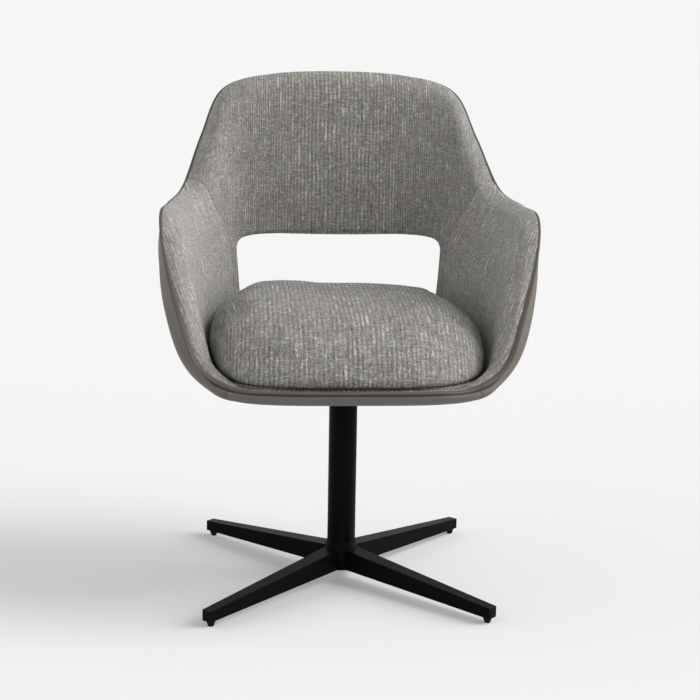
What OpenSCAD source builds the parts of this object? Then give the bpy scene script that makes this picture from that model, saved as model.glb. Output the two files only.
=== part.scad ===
// Upholstered swivel armchair: bucket shell on a round column with a four-star base.
// Millimetres. The column axis is the Z axis, the floor is z = 0 and the front faces -Y.

/* [Shell size] */
// Overall width across the arms at their widest line
arm_span = 628; // [600:2:660]
// Height of the widest line of the sides above the floor
belt_z = 575; // [560:1:590]
// Distance from the widest line of an arm in to its top edge
rim_inset = 14; // [12:1:20]
// Height of the arm tops above the floor
arm_top_z = 652; // [640:1:670]
// Overall height of the back above the floor
back_top_z = 860; // [830:2:890]
// Width of the backrest between its top corners
back_top_w = 414; // [384:2:440]
// Width of the front edge between its corner seams
front_w = 382; // [366:2:394]
// Height of the front edge above the floor
front_edge_z = 390; // [384:1:396]
// Reach of the front edge in front of the column axis
front_reach = 264; // [254:1:276]
// Reach of the back top behind the column axis
back_reach = 264; // [254:1:290]
// Height of the shell underside above the floor
shell_bottom_z = 360; // [354:1:362]
// Height of the pad that the cushion lies on
deck_z = 392; // [388:1:396]
// Width that the deck gains on each side behind the front edge
floor_flare = 32; // [26:1:36]
// Share of the deck's width that the flat underside keeps
foot_width_share = 0.81; // [0.78:0.01:0.88]
// Share of the deck's depth that the flat underside keeps, measured from the back
foot_depth_share = 0.9; // [0.86:0.01:0.96]

/* [Wall layers] */
// Thickness of the wall at its padded edge
rim_t = 46; // [40:1:52]
// Height that the padded edge swells above its two seams
rim_crown = 9; // [6:0.5:12]
// Thickness of the outer cover with its lining
cover_t = 3; // [2:0.5:4]
// Thickness of the moulded wall panels
panel_t = 10; // [8:0.5:12]
// Clearance between two layers of the wall
layer_gap = 0.35; // [0.3:0.05:0.45]
// Width of the flat strip sewn along the edge
welt_w = 8.5; // [7:0.5:11]
// Depth that the strip is let in below the edge
welt_depth = 4.5; // [3.5:0.5:6]
// Height that the strip stands proud of the cover
welt_proud = 1; // [0.5:0.1:1.5]
// Clearance between the strip and the pads beside it
welt_gap = 0.8; // [0.6:0.1:1.2]

/* [Back opening] */
// Width of the opening on its inner side, at mid height
opening_w = 356; // [320:2:370]
// Height of the opening's upper edge above the floor
opening_top_z = 578; // [560:1:600]
// Height of the opening's lower edge above the floor
opening_bottom_z = 446; // [430:1:460]
// Squareness of the opening's corners
opening_power = 4.5; // [3:0.5:6]
// Distance that the seams between arms and back lean, in stations, beside the opening
seam_low_lean = 0.65; // [0:0.05:0.8]
// Distance that the same seams lean the other way at the edge, in stations
seam_top_lean = 0.3; // [0:0.05:0.5]

/* [Cushion] */
// Clearance between the cushion and the wall at each side
cushion_side_gap = 2; // [1:0.5:6]
// Height of the crown of the cushion above the floor
cushion_top_z = 492; // [470:1:510]
// Distance from the shell's front edge back to the cushion
cushion_setback = 10; // [8:1:20]
// Clearance between the cushion and the wall behind it
cushion_back_gap = 8; // [7:1:20]
// Drop of the cushion's top towards its front edge
cushion_fall = 20; // [10:1:26]

/* [Seat board and plate] */
// Clearance between the layers of the floor and the wall round them
floor_gap = 0.5; // [0.4:0.05:0.8]
// Thickness of the plywood board under the seat
board_t = 15; // [12:1:18]
// Thickness of the black cover sheet under the board
sheet_t = 1; // [0.8:0.1:1.5]
// Length of the mounting plate from side to side
plate_x = 190; // [170:2:220]
// Length of the mounting plate from front to back
plate_y = 170; // [150:2:200]
// Thickness of the mounting plate
plate_t = 4; // [3:0.5:5]
// Height of the plate's turned-down side flanges
plate_flange = 12; // [8:1:15]
// Corner radius of the mounting plate
plate_r = 12; // [8:1:16]
// Spacing of the plate bolts from side to side
bolt_x = 140; // [120:2:146]
// Spacing of the plate bolts from front to back
bolt_y = 130; // [110:2:136]
// Shank diameter of the plate bolts
bolt_d = 8; // [6:1:8]

/* [Swivel] */
// Diameter of the swivel spindle
spindle_d = 30; // [26:1:32]
// Wall of the spindle tube
spindle_wall = 4; // [3:0.5:6]
// Diameter of the flange on top of the spindle
spindle_flange_d = 80; // [70:2:90]
// Thickness of the flange on top of the spindle
spindle_flange_t = 5; // [4:0.5:6]
// Running clearance of the spindle in its bushes, on the radius
run_gap = 0.03; // [0.02:0.01:0.06]
// Clearance between the thrust washer and the flange above it
thrust_gap = 0.1; // [0.05:0.05:0.2]
// Length of the upper bush in the column
upper_bush_l = 40; // [30:1:50]
// Length of the lower bush in the column
lower_bush_l = 30; // [20:1:40]
// Distance between the two bushes
bush_span = 120; // [90:2:130]
// Thickness of the upper bush's collar
bush_collar_t = 3; // [2:0.5:4]
// Thickness of the thrust washer
thrust_t = 2; // [1.5:0.5:3]

/* [Column and hub] */
// Outer diameter of the column tube
column_d = 48.3; // [47.5:0.1:51]
// Wall of the column tube
column_wall = 2.5; // [2:0.1:3]
// Outer diameter of the hub sleeve
hub_d = 55; // [54:0.5:60]
// Height of the hub's underside above the floor
hub_bottom_z = 18; // [16:1:20]
// Height of the top of the straight part of the hub
hub_top_z = 58; // [57:1:62]
// Height of the cone above the straight part of the hub
hub_cone_h = 10; // [8:1:14]
// Radius of the hub's lower edge
hub_edge_r = 3; // [2:0.5:3]
// Thickness of the plug under the hub
hub_plug_t = 4; // [3:0.5:5]

/* [Legs] */
// Distance from the column axis to the end of a leg
leg_reach = 327; // [306:1:344]
// Width of a leg at the hub
leg_root_w = 30; // [26:1:32]
// Height of a leg at the hub
leg_root_h = 36; // [32:1:37]
// Width of a leg at its end
leg_tip_w = 18; // [17:0.5:21]
// Height of a leg at its end
leg_tip_h = 18.5; // [17:0.5:21]
// Depth that a leg reaches into the hub's wall before it is cut to the hub
leg_entry = 10; // [8:1:12]
// Distance from the top of the hub's straight part down to a leg's top
leg_drop = 2; // [1:0.5:4]
// Wall of the leg tube
leg_wall = 2; // [1.5:0.1:2.5]
// Thickness of the end cap's outer plate
cap_t = 2.5; // [2:0.5:3]
// Depth of the end cap's plug in the leg
cap_plug = 32; // [30:1:40]
// Distance from the end of a leg in to its glide
glide_inset = 11; // [10:1:15]
// Diameter of a glide at its top
glide_d = 15; // [13:0.5:16]
// Diameter of a glide's foot
glide_foot_d = 10; // [8:0.5:12]
// Height of a glide under the leg
glide_h = 9.6; // [8:0.2:11]
// Diameter of a glide's stem
glide_stem_d = 8; // [6:0.5:9]
// Length of a glide's stem
glide_stem_h = 8; // [6:0.5:10]

/* [Hidden] */
$fn = 48;

// Colours of the visible finishes
fabric_col = [0.52, 0.49, 0.46];
leather_col = [0.36, 0.32, 0.30];
steel_col = [0.06, 0.06, 0.06];
plastic_col = [0.10, 0.10, 0.10];
wood_col = [0.75, 0.62, 0.44];
zinc_col = [0.70, 0.71, 0.72];
bush_col = [0.88, 0.87, 0.83];

// Half sizes of the shell
belt_hw = arm_span / 2;
rim_hw = belt_hw - rim_inset;
back_hw = back_top_w / 2;
front_hw = front_w / 2;
floor_hw = front_hw + floor_flare;

// Shell lines are given at 13 stations from the middle of the front (0) round one side
// to the middle of the back (12); the other side mirrors them.
last = 12;
front_station = 2;
back_station = 8.5;

// Places between the named lines of the shell, as shares of the way from one to the other
function mix(a, b, share) = a + (b - a) * share;
function at_y(share) = mix(-front_reach, back_reach, share);
function front_x(share, end) = mix(front_hw, end, share);
function back_x(share, end) = mix(back_hw, end, share);
function band_z(share) = mix(shell_bottom_z, front_edge_z, share);
function arm_z(share) = mix(front_edge_z, arm_top_z, share);
function back_z(share) = mix(arm_top_z, back_top_z, share);
function low_belt_z(share) = mix(front_edge_z, belt_z, share);
function high_belt_z(share) = mix(belt_z, arm_top_z, share);

// Outer edge line of the shell
RIM = [
  [0, at_y(0), front_edge_z],
  [front_hw * 0.63, at_y(0.01), front_edge_z],
  [front_hw, at_y(0.0625), front_edge_z],
  [front_x(0.517, rim_hw), at_y(0.121), arm_z(0.115)],
  [front_x(0.786, rim_hw), at_y(0.174), arm_z(0.42)],
  [front_x(0.991, rim_hw), at_y(0.235), arm_z(0.763)],
  [front_x(1.051, rim_hw), at_y(0.32), arm_z(0.973)],
  [back_x(0.963, rim_hw), at_y(0.5), arm_top_z],
  [back_x(0.729, rim_hw), at_y(0.708), back_z(0.086)],
  [back_x(0.405, rim_hw), at_y(0.856), back_z(0.477)],
  [back_hw, at_y(0.947), back_z(0.851)],
  [back_hw * 0.58, at_y(0.99), back_z(0.971)],
  [0, at_y(1), back_top_z]
];
// Widest line of the shell
BELT = [
  [0, at_y(0), band_z(0.77)],
  [front_hw * 0.653, at_y(0.0076), band_z(0.75)],
  [front_x(0.081, belt_hw), at_y(0.053), band_z(0.81)],
  [front_x(0.374, belt_hw), at_y(0.114), low_belt_z(0.07)],
  [front_x(0.725, belt_hw), at_y(0.193), low_belt_z(0.392)],
  [front_x(0.924, belt_hw), at_y(0.288), low_belt_z(0.887)],
  [front_x(0.938, belt_hw), at_y(0.415), belt_z],
  [back_x(0.991, belt_hw), at_y(0.566), high_belt_z(0.026)],
  [back_x(0.785, belt_hw), at_y(0.7235), high_belt_z(0.104)],
  [back_x(0.414, belt_hw), at_y(0.837), high_belt_z(0.26)],
  [back_hw, at_y(0.898), high_belt_z(0.416)],
  [back_hw * 0.57, at_y(0.922), high_belt_z(0.4545)],
  [0, at_y(0.928), high_belt_z(0.4545)]
];
// Outline of the deck inside the shell
FLOOR = [
  [0, at_y(0.0606)],
  [floor_hw * 0.52, at_y(0.0644)],
  [floor_hw * 0.785, at_y(0.0947)],
  [floor_hw * 0.919, at_y(0.144)],
  [floor_hw * 0.973, at_y(0.208)],
  [floor_hw, at_y(0.284)],
  [floor_hw, at_y(0.386)],
  [floor_hw * 0.978, at_y(0.519)],
  [floor_hw * 0.91, at_y(0.67)],
  [floor_hw * 0.821, at_y(0.765)],
  [floor_hw * 0.673, at_y(0.824)],
  [floor_hw * 0.35, at_y(0.85)],
  [0, at_y(0.858)]
];
// The floor's edge slopes in from the deck to the smaller flat underside
function floor_point(u, z) =
  let (
    g = line_at(FLOOR, u),
    share = (z - shell_bottom_z) / (deck_z - shell_bottom_z),
    back_y = FLOOR[last][1]
  ) [g[0] * mix(foot_width_share, 1, share), mix(back_y, g[1], mix(foot_depth_share, 1, share))];
// Step from the outer edge line to the inner edge line, in shares of the wall's thickness
RIM_STEP = [
  [0, 0.56, -0.02], [-0.09, 0.56, -0.02], [-0.3, 0.44, 0.02], [-0.52, 0.44, 0.13],
  [-0.74, 0.35, 0.04], [-0.87, 0.26, -0.22], [-0.96, 0.17, -0.48], [-1, -0.09, -0.56],
  [-1, -0.48, -0.56], [-0.83, -0.74, -0.48], [-0.52, -0.87, -0.56], [-0.17, -0.96, -0.65],
  [0, -0.96, -0.65]
];
// Outline of the seat cushion at its widest height
cushion_hw = floor_hw - cushion_side_gap;
cushion_y0 = at_y(0) + cushion_setback;
cushion_y1 = FLOOR[last][1] - cushion_back_gap;
function cushion_y(share) = mix(cushion_y0, cushion_y1, share);
CUSHION = [
  [0, cushion_y(0)],
  [cushion_hw * 0.5, cushion_y(0.002)],
  [cushion_hw * 0.815, cushion_y(0.028)],
  [cushion_hw * 0.915, cushion_y(0.097)],
  [cushion_hw * 0.972, cushion_y(0.23)],
  [cushion_hw, cushion_y(0.377)],
  [cushion_hw * 0.991, cushion_y(0.492)],
  [cushion_hw * 0.964, cushion_y(0.63)],
  [cushion_hw * 0.878, cushion_y(0.805)],
  [cushion_hw * 0.774, cushion_y(0.913)],
  [cushion_hw * 0.593, cushion_y(0.972)],
  [cushion_hw * 0.34, cushion_y(0.998)],
  [0, cushion_y(1)]
];
// Cushion profile: share of the plan size and share of the height, from the bottom up
CUSHION_ROWS = [
  [0.9, 0], [0.935, 0.05], [0.97, 0.17], [1, 0.34], [0.992, 0.52], [0.972, 0.67],
  [0.93, 0.8], [0.85, 0.89], [0.7, 0.95], [0.48, 0.985], [0.24, 0.998]
];

// Smooth line through the stations of a list; it mirrors past both ends
function flip(p) = [for (i = [0 : len(p) - 1]) i == 0 ? -p[i] : p[i]];
function stop(list, i) =
  i < 0 ? flip(list[-i]) : i > last ? flip(list[2 * last - i]) : list[i];
function blend(a, b, c, d, t) =
  0.5 * (2 * b + (c - a) * t + (2 * a - 5 * b + 4 * c - d) * t * t
  + (3 * b - a - 3 * c + d) * t * t * t);
function line_at(list, u) =
  u < 0 ? flip(line_at(list, -u)) :
  u > last ? flip(line_at(list, 2 * last - u)) :
  let (i = min(floor(u), last - 1))
  blend(stop(list, i - 1), stop(list, i), stop(list, i + 1), stop(list, i + 2), u - i);

// Outer and inner face of the wall: v runs from the floor (0) to the edge (1)
belt_v = 0.5;
function outer_low(g, b, w) =
  let (h = sqrt(1 - pow(1 - w, 2)))
  [g[0] + (b[0] - g[0]) * h, g[1] + (b[1] - g[1]) * h, shell_bottom_z + (b[2] - shell_bottom_z) * w];
function outer_high(b, r, s) =
  let (h = pow(s, 1.6))
  [b[0] + (r[0] - b[0]) * h, b[1] + (r[1] - b[1]) * h, b[2] + (r[2] - b[2]) * s];
function outer(u, v) =
  v <= belt_v
  ? outer_low(floor_point(u, shell_bottom_z), line_at(BELT, u), v / belt_v)
  : outer_high(line_at(BELT, u), line_at(RIM, u), (v - belt_v) / (1 - belt_v));
function inner_rim(u) = line_at(RIM, u) + rim_t * line_at(RIM_STEP, u);
function inner(u, v) =
  let (g = line_at(FLOOR, u))
  [g[0], g[1], deck_z] * (1 - v) + inner_rim(u) * v;
// Point at depth d below the outer face
function depth(u, v, d) =
  let (a = outer(u, v), b = inner(u, v))
  a + (b - a) * min(1, d / norm(b - a));
function fold_u(u) = u < 0 ? -u : u > last ? 2 * last - u : u;
// Point of the padded edge: t runs from the outer edge line (0) to the inner one (1)
function rim_normal(u) =
  let (
    along = line_at(RIM, u + 0.05) - line_at(RIM, u - 0.05),
    across = inner_rim(u) - line_at(RIM, u),
    n = cross(along, across)
  ) n / norm(n);
// The edge is nearly flat along the front and swells to its full height on the arms
function crown_share(u) = min(1, max(0.12, (fold_u(u) - 1.7) / 2.3));
function rim_cap(u, t) =
  let (rise = rim_crown * crown_share(u) * sqrt(max(0, 1 - pow(abs(2 * t - 1), 2.6))))
  line_at(RIM, u) * (1 - t) + inner_rim(u) * t + rim_normal(u) * rise;
// Share of the wall's height that lies a given distance below the edge line
function below_rim_v(u, drop) =
  1 - (1 - belt_v) * min(0.45, drop / norm(line_at(RIM, u) - line_at(BELT, u)));
function top_v(u) = below_rim_v(u, welt_depth);

// Opening in the back, in the wall's own directions
open_mid_z = (opening_top_z + opening_bottom_z) / 2;
open_half_h = (opening_top_z - opening_bottom_z) / 2;
function v_of_z(u, z) =
  let (f = max(fold_u(u), back_station)) (z - deck_z) / (inner_rim(f)[2] - deck_z);
function find_u(x, lo, hi, n) =
  let (m = (lo + hi) / 2)
  n == 0 ? m :
  inner(m, v_of_z(m, open_mid_z))[0] > x ? find_u(x, m, hi, n - 1) : find_u(x, lo, m, n - 1);
open_u = find_u(opening_w / 2, back_station, last - 1, 16);
function open_share(u) =
  let (k = (last - fold_u(u)) / (last - open_u))
  k >= 1 ? 0 : pow(1 - pow(k, opening_power), 1 / opening_power);
function open_low(u) = v_of_z(u, open_mid_z - open_half_h * open_share(u));
function open_high(u) = v_of_z(u, open_mid_z + open_half_h * open_share(u));

// The seams between arms and back lean, and the stations beside them lean along
function seam_lean(v) =
  let (s = max(0, (v - open_high(last)) / (1 - open_high(last))))
  mix(seam_low_lean, -seam_top_lean, s * s * (3 - 2 * s));
function lean_share(f) =
  f < back_station ? max(0, (f - front_station) / (back_station - front_station))
  : max(0, (open_u - f) / (open_u - back_station));
function lean(u, v) = u + (u > last || u < 0 ? -1 : 1) * seam_lean(v) * lean_share(fold_u(u));

// Stations of each length of the wall
front_steps = 8;
side_steps = 16;
FRONT_U = [for (i = [0 : front_steps]) -front_station + 2 * front_station * i / front_steps];
SIDE_U = [for (i = [0 : side_steps]) front_station + (back_station - front_station) * i / side_steps];
open_span = last - open_u;
HALF_BACK_U = [
  back_station, (back_station + open_u) / 2,
  for (k = [0, 0.03, 0.09, 0.2, 0.36, 0.56, 0.78]) open_u + open_span * k
];
BACK_U = [
  each HALF_BACK_U, last, for (i = [len(HALF_BACK_U) - 1 : -1 : 0]) 2 * last - HALF_BACK_U[i]
];
SIDE_RIGHT_U = SIDE_U;
SIDE_LEFT_U = [for (i = [len(SIDE_U) - 1 : -1 : 0]) 2 * last - SIDE_U[i]];
LOOP_U = [
  for (i = [len(SIDE_U) - 1 : -1 : 1]) -SIDE_U[i],
  for (i = [0 : len(FRONT_U) - 2]) FRONT_U[i],
  for (i = [0 : len(SIDE_U) - 2]) SIDE_U[i],
  for (i = [0 : len(BACK_U) - 2]) BACK_U[i]
];

// Rows of one wall section, as shares of the height below and above the opening's middle
LOW_ROWS = [0, 0.01, 0.04, 0.1, 0.22, 0.4, 0.65, 1];
HIGH_ROWS = [0, 0.14, 0.34, 0.58, 0.8, 1];
low_n = len(LOW_ROWS);
high_n = len(HIGH_ROWS);
row_n = low_n + high_n;
function rows_v(u, top) = [
  for (k = LOW_ROWS) open_low(u) * k,
  for (k = HIGH_ROWS) open_high(u) + (top - open_high(u)) * k
];
function reversed(list) = [for (i = [len(list) - 1 : -1 : 0]) list[i]];
// Section of a plain layer between two depths, as high as v = top
function layer_point(u, v, d) = depth(lean(u, v), v, d);
function layer_section(u, d0, d1, top) =
  let (rows = rows_v(u, top))
  [for (v = rows) layer_point(u, v, d0), for (v = reversed(rows)) layer_point(u, v, d1)];
// Section of a pad: its top folds over the wall's edge as far as the welt
CAP_ROWS = [0.24, 0.38, 0.55, 0.72, 0.87];
pad_start = welt_w + welt_gap;
// Point of the strip's upper line: d is the distance from the edge line across the wall
function welt_top(u, d, rise) =
  let (r = line_at(RIM, u), across = inner_rim(u) - r)
  r + across * d / norm(across) + rim_normal(u) * welt_proud * rise;
function cap_start(u) = pad_start / norm(inner_rim(u) - line_at(RIM, u));
function pad_section(u, d0) =
  let (e = lean(u, 1), top = top_v(e)) [
    for (v = rows_v(u, top)) layer_point(u, v, d0),
    layer_point(u, top, pad_start),
    welt_top(e, pad_start, 1.2),
    rim_cap(e, cap_start(e)),
    for (k = CAP_ROWS) rim_cap(e, mix(cap_start(e), 1, k)),
    for (v = reversed(rows_v(u, 1))) let (w = lean(u, v)) inner(w, v)
  ];

// Two triangles of a four-sided face, split along either diagonal
function quad(a, b, c, d, turn) =
  turn ? [[a, d, b], [b, d, c]] : [[a, c, b], [a, d, c]];
// Closed body through a row of sections. Each section is a loop of the same number of points:
// row_n points up one face, any number over the top, and row_n points down the other face.
// Where hole is true, the stations past open_u split round the opening.
module loft(us, sections, hole = false) {
  n = len(sections[0]);
  m = len(us);
  function inside(j) = hole && fold_u(us[j]) > open_u + 0.001;
  function split(j) = hole && fold_u(us[j]) >= open_u - 0.001;
  // Rows that meet where there is no opening share one point
  function id(j, k) =
    !inside(j) && k == low_n ? j * n + low_n - 1 :
    !inside(j) && k == n - 1 - low_n ? j * n + n - low_n :
    j * n + k;
  function strip(j, k, k2) =
    quad(id(j, k), id(j + 1, k), id(j + 1, k2), id(j, k2), k >= n / 2);
  function both(j) = split(j) && split(j + 1);
  // End face: rungs between the two faces, then a fan over the top
  function end_face(j) = [
    for (k = [0 : row_n - 2])
      each quad(id(j, k), id(j, k + 1), id(j, n - 2 - k), id(j, n - 1 - k), false),
    for (k = [row_n - 1 : 1 : n - row_n - 2]) [id(j, row_n - 1), id(j, k + 2), id(j, k + 1)]
  ];
  faces = [
    for (j = [0 : m - 2], k = [0 : n - 1])
      if (k != low_n - 1 && k != n - 1 - low_n) each strip(j, k, (k + 1) % n),
    for (j = [0 : m - 2]) if (both(j)) each concat(
      quad(id(j, low_n - 1), id(j + 1, low_n - 1), id(j + 1, n - low_n), id(j, n - low_n), false),
      quad(id(j, n - 1 - low_n), id(j + 1, n - 1 - low_n), id(j + 1, low_n), id(j, low_n), true)
    ),
    each end_face(0),
    for (f = end_face(m - 1)) reversed(f)
  ];
  whole = [for (f = faces) if (f[0] != f[1] && f[1] != f[2] && f[2] != f[0]) f];
  polyhedron(points = [for (s = sections) each s], faces = whole);
}

// Depths of the layers of the wall
panel_d0 = cover_t + layer_gap;
panel_d1 = panel_d0 + panel_t;
pad_d0 = panel_d1 + layer_gap;

module cover(us, hole = false) {
  color(leather_col) loft(us, [for (u = us) layer_section(u, 0, cover_t, top_v(lean(u, 1)))], hole);
}
module panel(us, hole = false) {
  function panel_top_v(u) = below_rim_v(lean(u, 1), welt_depth + 2 * layer_gap);
  color(wood_col) loft(us, [for (u = us) layer_section(u, panel_d0, panel_d1, panel_top_v(u))], hole);
}
module pad(us, hole = false) {
  color(fabric_col) loft(us, [for (u = us) pad_section(u, pad_d0)], hole);
}

module front_cover() { cover(FRONT_U); }
module side_cover_right() { cover(SIDE_RIGHT_U); }
module side_cover_left() { cover(SIDE_LEFT_U); }
module back_cover() { cover(BACK_U, true); }
module front_rail() { panel(FRONT_U); }
module side_panel_right() { panel(SIDE_RIGHT_U); }
module side_panel_left() { panel(SIDE_LEFT_U); }
module back_panel() { panel(BACK_U, true); }
module front_pad() { pad(FRONT_U); }
module arm_pad_right() { pad(SIDE_RIGHT_U); }
module arm_pad_left() { pad(SIDE_LEFT_U); }
module back_pad() { pad(BACK_U, true); }

// Flat strip of cover material all round the edge, between the outer cover and the pads
module edge_welt() {
  function ring(u) =
    let (
      e = lean(u, 1),
      top = top_v(e),
      bottom = mix(layer_point(u, top, welt_w), welt_top(e, welt_w, 1.2), 0.1)
    ) [
      layer_point(u, mix(top, 1, 0.1), 0),
      mix(layer_point(u, top, 0), welt_top(e, -0.7 * welt_proud, 0), 0.6),
      welt_top(e, -0.4 * welt_proud, 0.6),
      welt_top(e, 0.3 * welt_w, 2),
      welt_top(e, 0.75 * welt_w, 2.4),
      welt_top(e, welt_w, 1.2),
      bottom
    ];
  rings = [for (u = LOOP_U) ring(u)];
  n = len(rings[0]);
  m = len(rings);
  color(leather_col * 0.8) polyhedron(
    points = [for (r = rings) each r],
    faces = [for (j = [0 : m - 1], k = [0 : n - 1])
      let (k2 = (k + 1) % n, next = ((j + 1) % m) * n)
      each quad(j * n + k, next + k, next + k2, j * n + k2, k >= n / 2)]
  );
}

// Crowned seat cushion with drawn-in sides, lower towards its front edge
cushion_u_step = 0.5;
cushion_fall_y = cushion_y(0.446);
module seat_cushion() {
  centre = [0, cushion_y(0.5)];
  us = [for (u = [0 : cushion_u_step : 2 * last - cushion_u_step]) u];
  base = deck_z + layer_gap;
  high = cushion_top_z - base;
  function fall(y, share) =
    cushion_fall * share * pow(max(0, cushion_fall_y - y) / (cushion_fall_y - cushion_y0), 2);
  function row(r) = [
    for (u = us)
      let (p = centre + (line_at(CUSHION, u) - centre) * r[0])
      [p[0], p[1], base + high * r[1] - fall(p[1], r[1])]
  ];
  rings = [for (r = CUSHION_ROWS) row(r)];
  n = len(us);
  m = len(rings);
  points = concat([for (r = rings) each r], [[centre[0], centre[1], cushion_top_z]]);
  color(fabric_col) polyhedron(
    points = points,
    faces = [
      for (j = [0 : m - 2], k = [0 : n - 1])
        let (a = j * n + k, b = j * n + (k + 1) % n, c = (j + 1) * n + (k + 1) % n, d = (j + 1) * n + k)
        each [[a, c, b], [a, d, c]],
      for (k = [0 : n - 1]) [(m - 1) * n + k, m * n, (m - 1) * n + (k + 1) % n],
      [for (k = [0 : n - 1]) k]
    ]
  );
}

// Floor of the shell
floor_centre = [0, at_y(0.462)];
function toward(p, c, d) = p + (c - p) * d / norm(c - p);
module floor_plate(z0, z1) {
  n = len(LOOP_U);
  function ring(z) = [
    for (u = LOOP_U)
      let (p = toward(floor_point(lean(u, 0), z), floor_centre, floor_gap)) [p[0], p[1], z]
  ];
  polyhedron(points = concat(ring(z0), ring(z1)), faces = [
    [for (k = [0 : n - 1]) k],
    [for (k = [n - 1 : -1 : 0]) n + k],
    for (k = [0 : n - 1])
      let (next = (k + 1) % n) each quad(k, next, n + next, n + k, LOOP_U[k] < 0 || LOOP_U[k] >= last)
  ]);
}
board_z0 = shell_bottom_z + sheet_t;
board_z1 = board_z0 + board_t;
tee_barrel_d = bolt_d + 2.4;
tee_flange_d = bolt_d * 2.6;
tee_flange_t = 1.5;
bolt_play = 0.5;
module at_bolts() {
  for (x = [-1, 1], y = [-1, 1]) translate([x * bolt_x / 2, y * bolt_y / 2, 0]) children();
}
module seat_board() {
  color(wood_col) difference() {
    floor_plate(board_z0, board_z1);
    at_bolts() translate([0, 0, board_z0 - 1]) cylinder(d = tee_barrel_d + 0.04, h = board_t + 2);
    at_bolts() translate([0, 0, board_z1 - tee_flange_t]) cylinder(d = tee_flange_d + 0.4, h = board_t);
  }
}
module dust_cover() {
  color(plastic_col) difference() {
    floor_plate(shell_bottom_z, board_z0);
    at_bolts() translate([0, 0, shell_bottom_z - 1]) cylinder(d = bolt_d + 2 * bolt_play, h = sheet_t + 2);
  }
}
module deck_pad() {
  color(fabric_col) floor_plate(board_z1 + layer_gap, deck_z);
}
module tee_nuts() {
  color(zinc_col) at_bolts() difference() {
    union() {
      translate([0, 0, board_z1 - tee_flange_t]) cylinder(d = tee_flange_d, h = tee_flange_t);
      translate([0, 0, board_z0 + 2]) cylinder(d = tee_barrel_d, h = board_t - tee_flange_t - 2);
    }
    translate([0, 0, board_z0]) cylinder(d = bolt_d + 0.04, h = board_t + 1);
  }
}

// Mounting plate, its bolts and the spindle
plate_z1 = shell_bottom_z;
plate_z0 = plate_z1 - plate_t;
bolt_head_d = bolt_d * 1.9;
bolt_head_t = bolt_d * 0.55;
bolt_hex = bolt_d * 0.6;
module rounded_plate(x, y, r, h) {
  linear_extrude(h) union() {
    square([x - 2 * r, y], center = true);
    square([x, y - 2 * r], center = true);
    for (i = [-1, 1], j = [-1, 1]) translate([i * (x / 2 - r), j * (y / 2 - r)]) circle(r);
  }
}
module mounting_plate() {
  color(steel_col) difference() {
    union() {
      translate([0, 0, plate_z0]) rounded_plate(plate_x, plate_y, plate_r, plate_t);
      for (i = [-1, 1])
        translate([i * (plate_x - plate_t) / 2, 0, plate_z0 - plate_flange / 2])
          cube([plate_t, plate_y - 2 * plate_r, plate_flange], center = true);
    }
    at_bolts() translate([0, 0, plate_z0 - 1]) cylinder(d = bolt_d + 2 * bolt_play, h = plate_t + 2);
  }
}
module plate_bolts() {
  color(zinc_col) at_bolts() difference() {
    union() {
      translate([0, 0, plate_z0 - bolt_head_t]) rotate_extrude() polygon([
        [0, 0], [bolt_head_d * 0.32, 0], [bolt_head_d / 2, bolt_head_t * 0.7],
        [bolt_head_d / 2, bolt_head_t], [0, bolt_head_t]
      ]);
      translate([0, 0, plate_z0]) cylinder(d = bolt_d, h = board_z1 - plate_z0 - 1);
    }
    translate([0, 0, plate_z0 - bolt_head_t - 1]) cylinder(d = bolt_hex, h = bolt_head_t, $fn = 6);
  }
}
flange_z1 = plate_z0;
flange_z0 = flange_z1 - spindle_flange_t;
thrust_z1 = flange_z0 - thrust_gap;
thrust_z0 = thrust_z1 - thrust_t;
column_z1 = thrust_z0 - bush_collar_t;
upper_bush_z0 = column_z1 - upper_bush_l;
lower_bush_z1 = upper_bush_z0 - bush_span;
lower_bush_z0 = lower_bush_z1 - lower_bush_l;
clip_t = 1.6;
clip_groove = 1.5;
washer_t = 2;
washer_z1 = lower_bush_z0 - thrust_gap;
washer_z0 = washer_z1 - washer_t;
clip_z0 = washer_z0 - clip_t - 0.05;
spindle_z0 = clip_z0 - 6;
spindle_r = spindle_d / 2;
spindle_bore_d = spindle_d - 2 * spindle_wall;
column_r = column_d / 2;
column_bore_r = column_r - column_wall;
module spindle() {
  color(steel_col) rotate_extrude($fn = 64) polygon([
    [spindle_bore_d / 2, spindle_z0], [spindle_r - 1, spindle_z0], [spindle_r, spindle_z0 + 1],
    [spindle_r, clip_z0], [spindle_r - clip_groove, clip_z0],
    [spindle_r - clip_groove, washer_z0], [spindle_r, washer_z0],
    [spindle_r, flange_z0], [spindle_flange_d / 2, flange_z0],
    [spindle_flange_d / 2, flange_z1], [spindle_bore_d / 2, flange_z1]
  ]);
}
module spindle_washer() {
  color(zinc_col) translate([0, 0, washer_z0]) difference() {
    cylinder(r = column_bore_r - 1.5, h = washer_t);
    translate([0, 0, -1]) cylinder(r = spindle_r + 0.05, h = washer_t + 2);
  }
}
module spindle_clip() {
  color(zinc_col) translate([0, 0, clip_z0 + 0.02]) difference() {
    cylinder(r = spindle_r + 2.5, h = clip_t);
    translate([0, 0, -1]) cylinder(r = spindle_r - clip_groove + 0.02, h = clip_t + 2);
    translate([0, -3, -1]) cube([spindle_d, 6, clip_t + 2]);
  }
}

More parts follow.
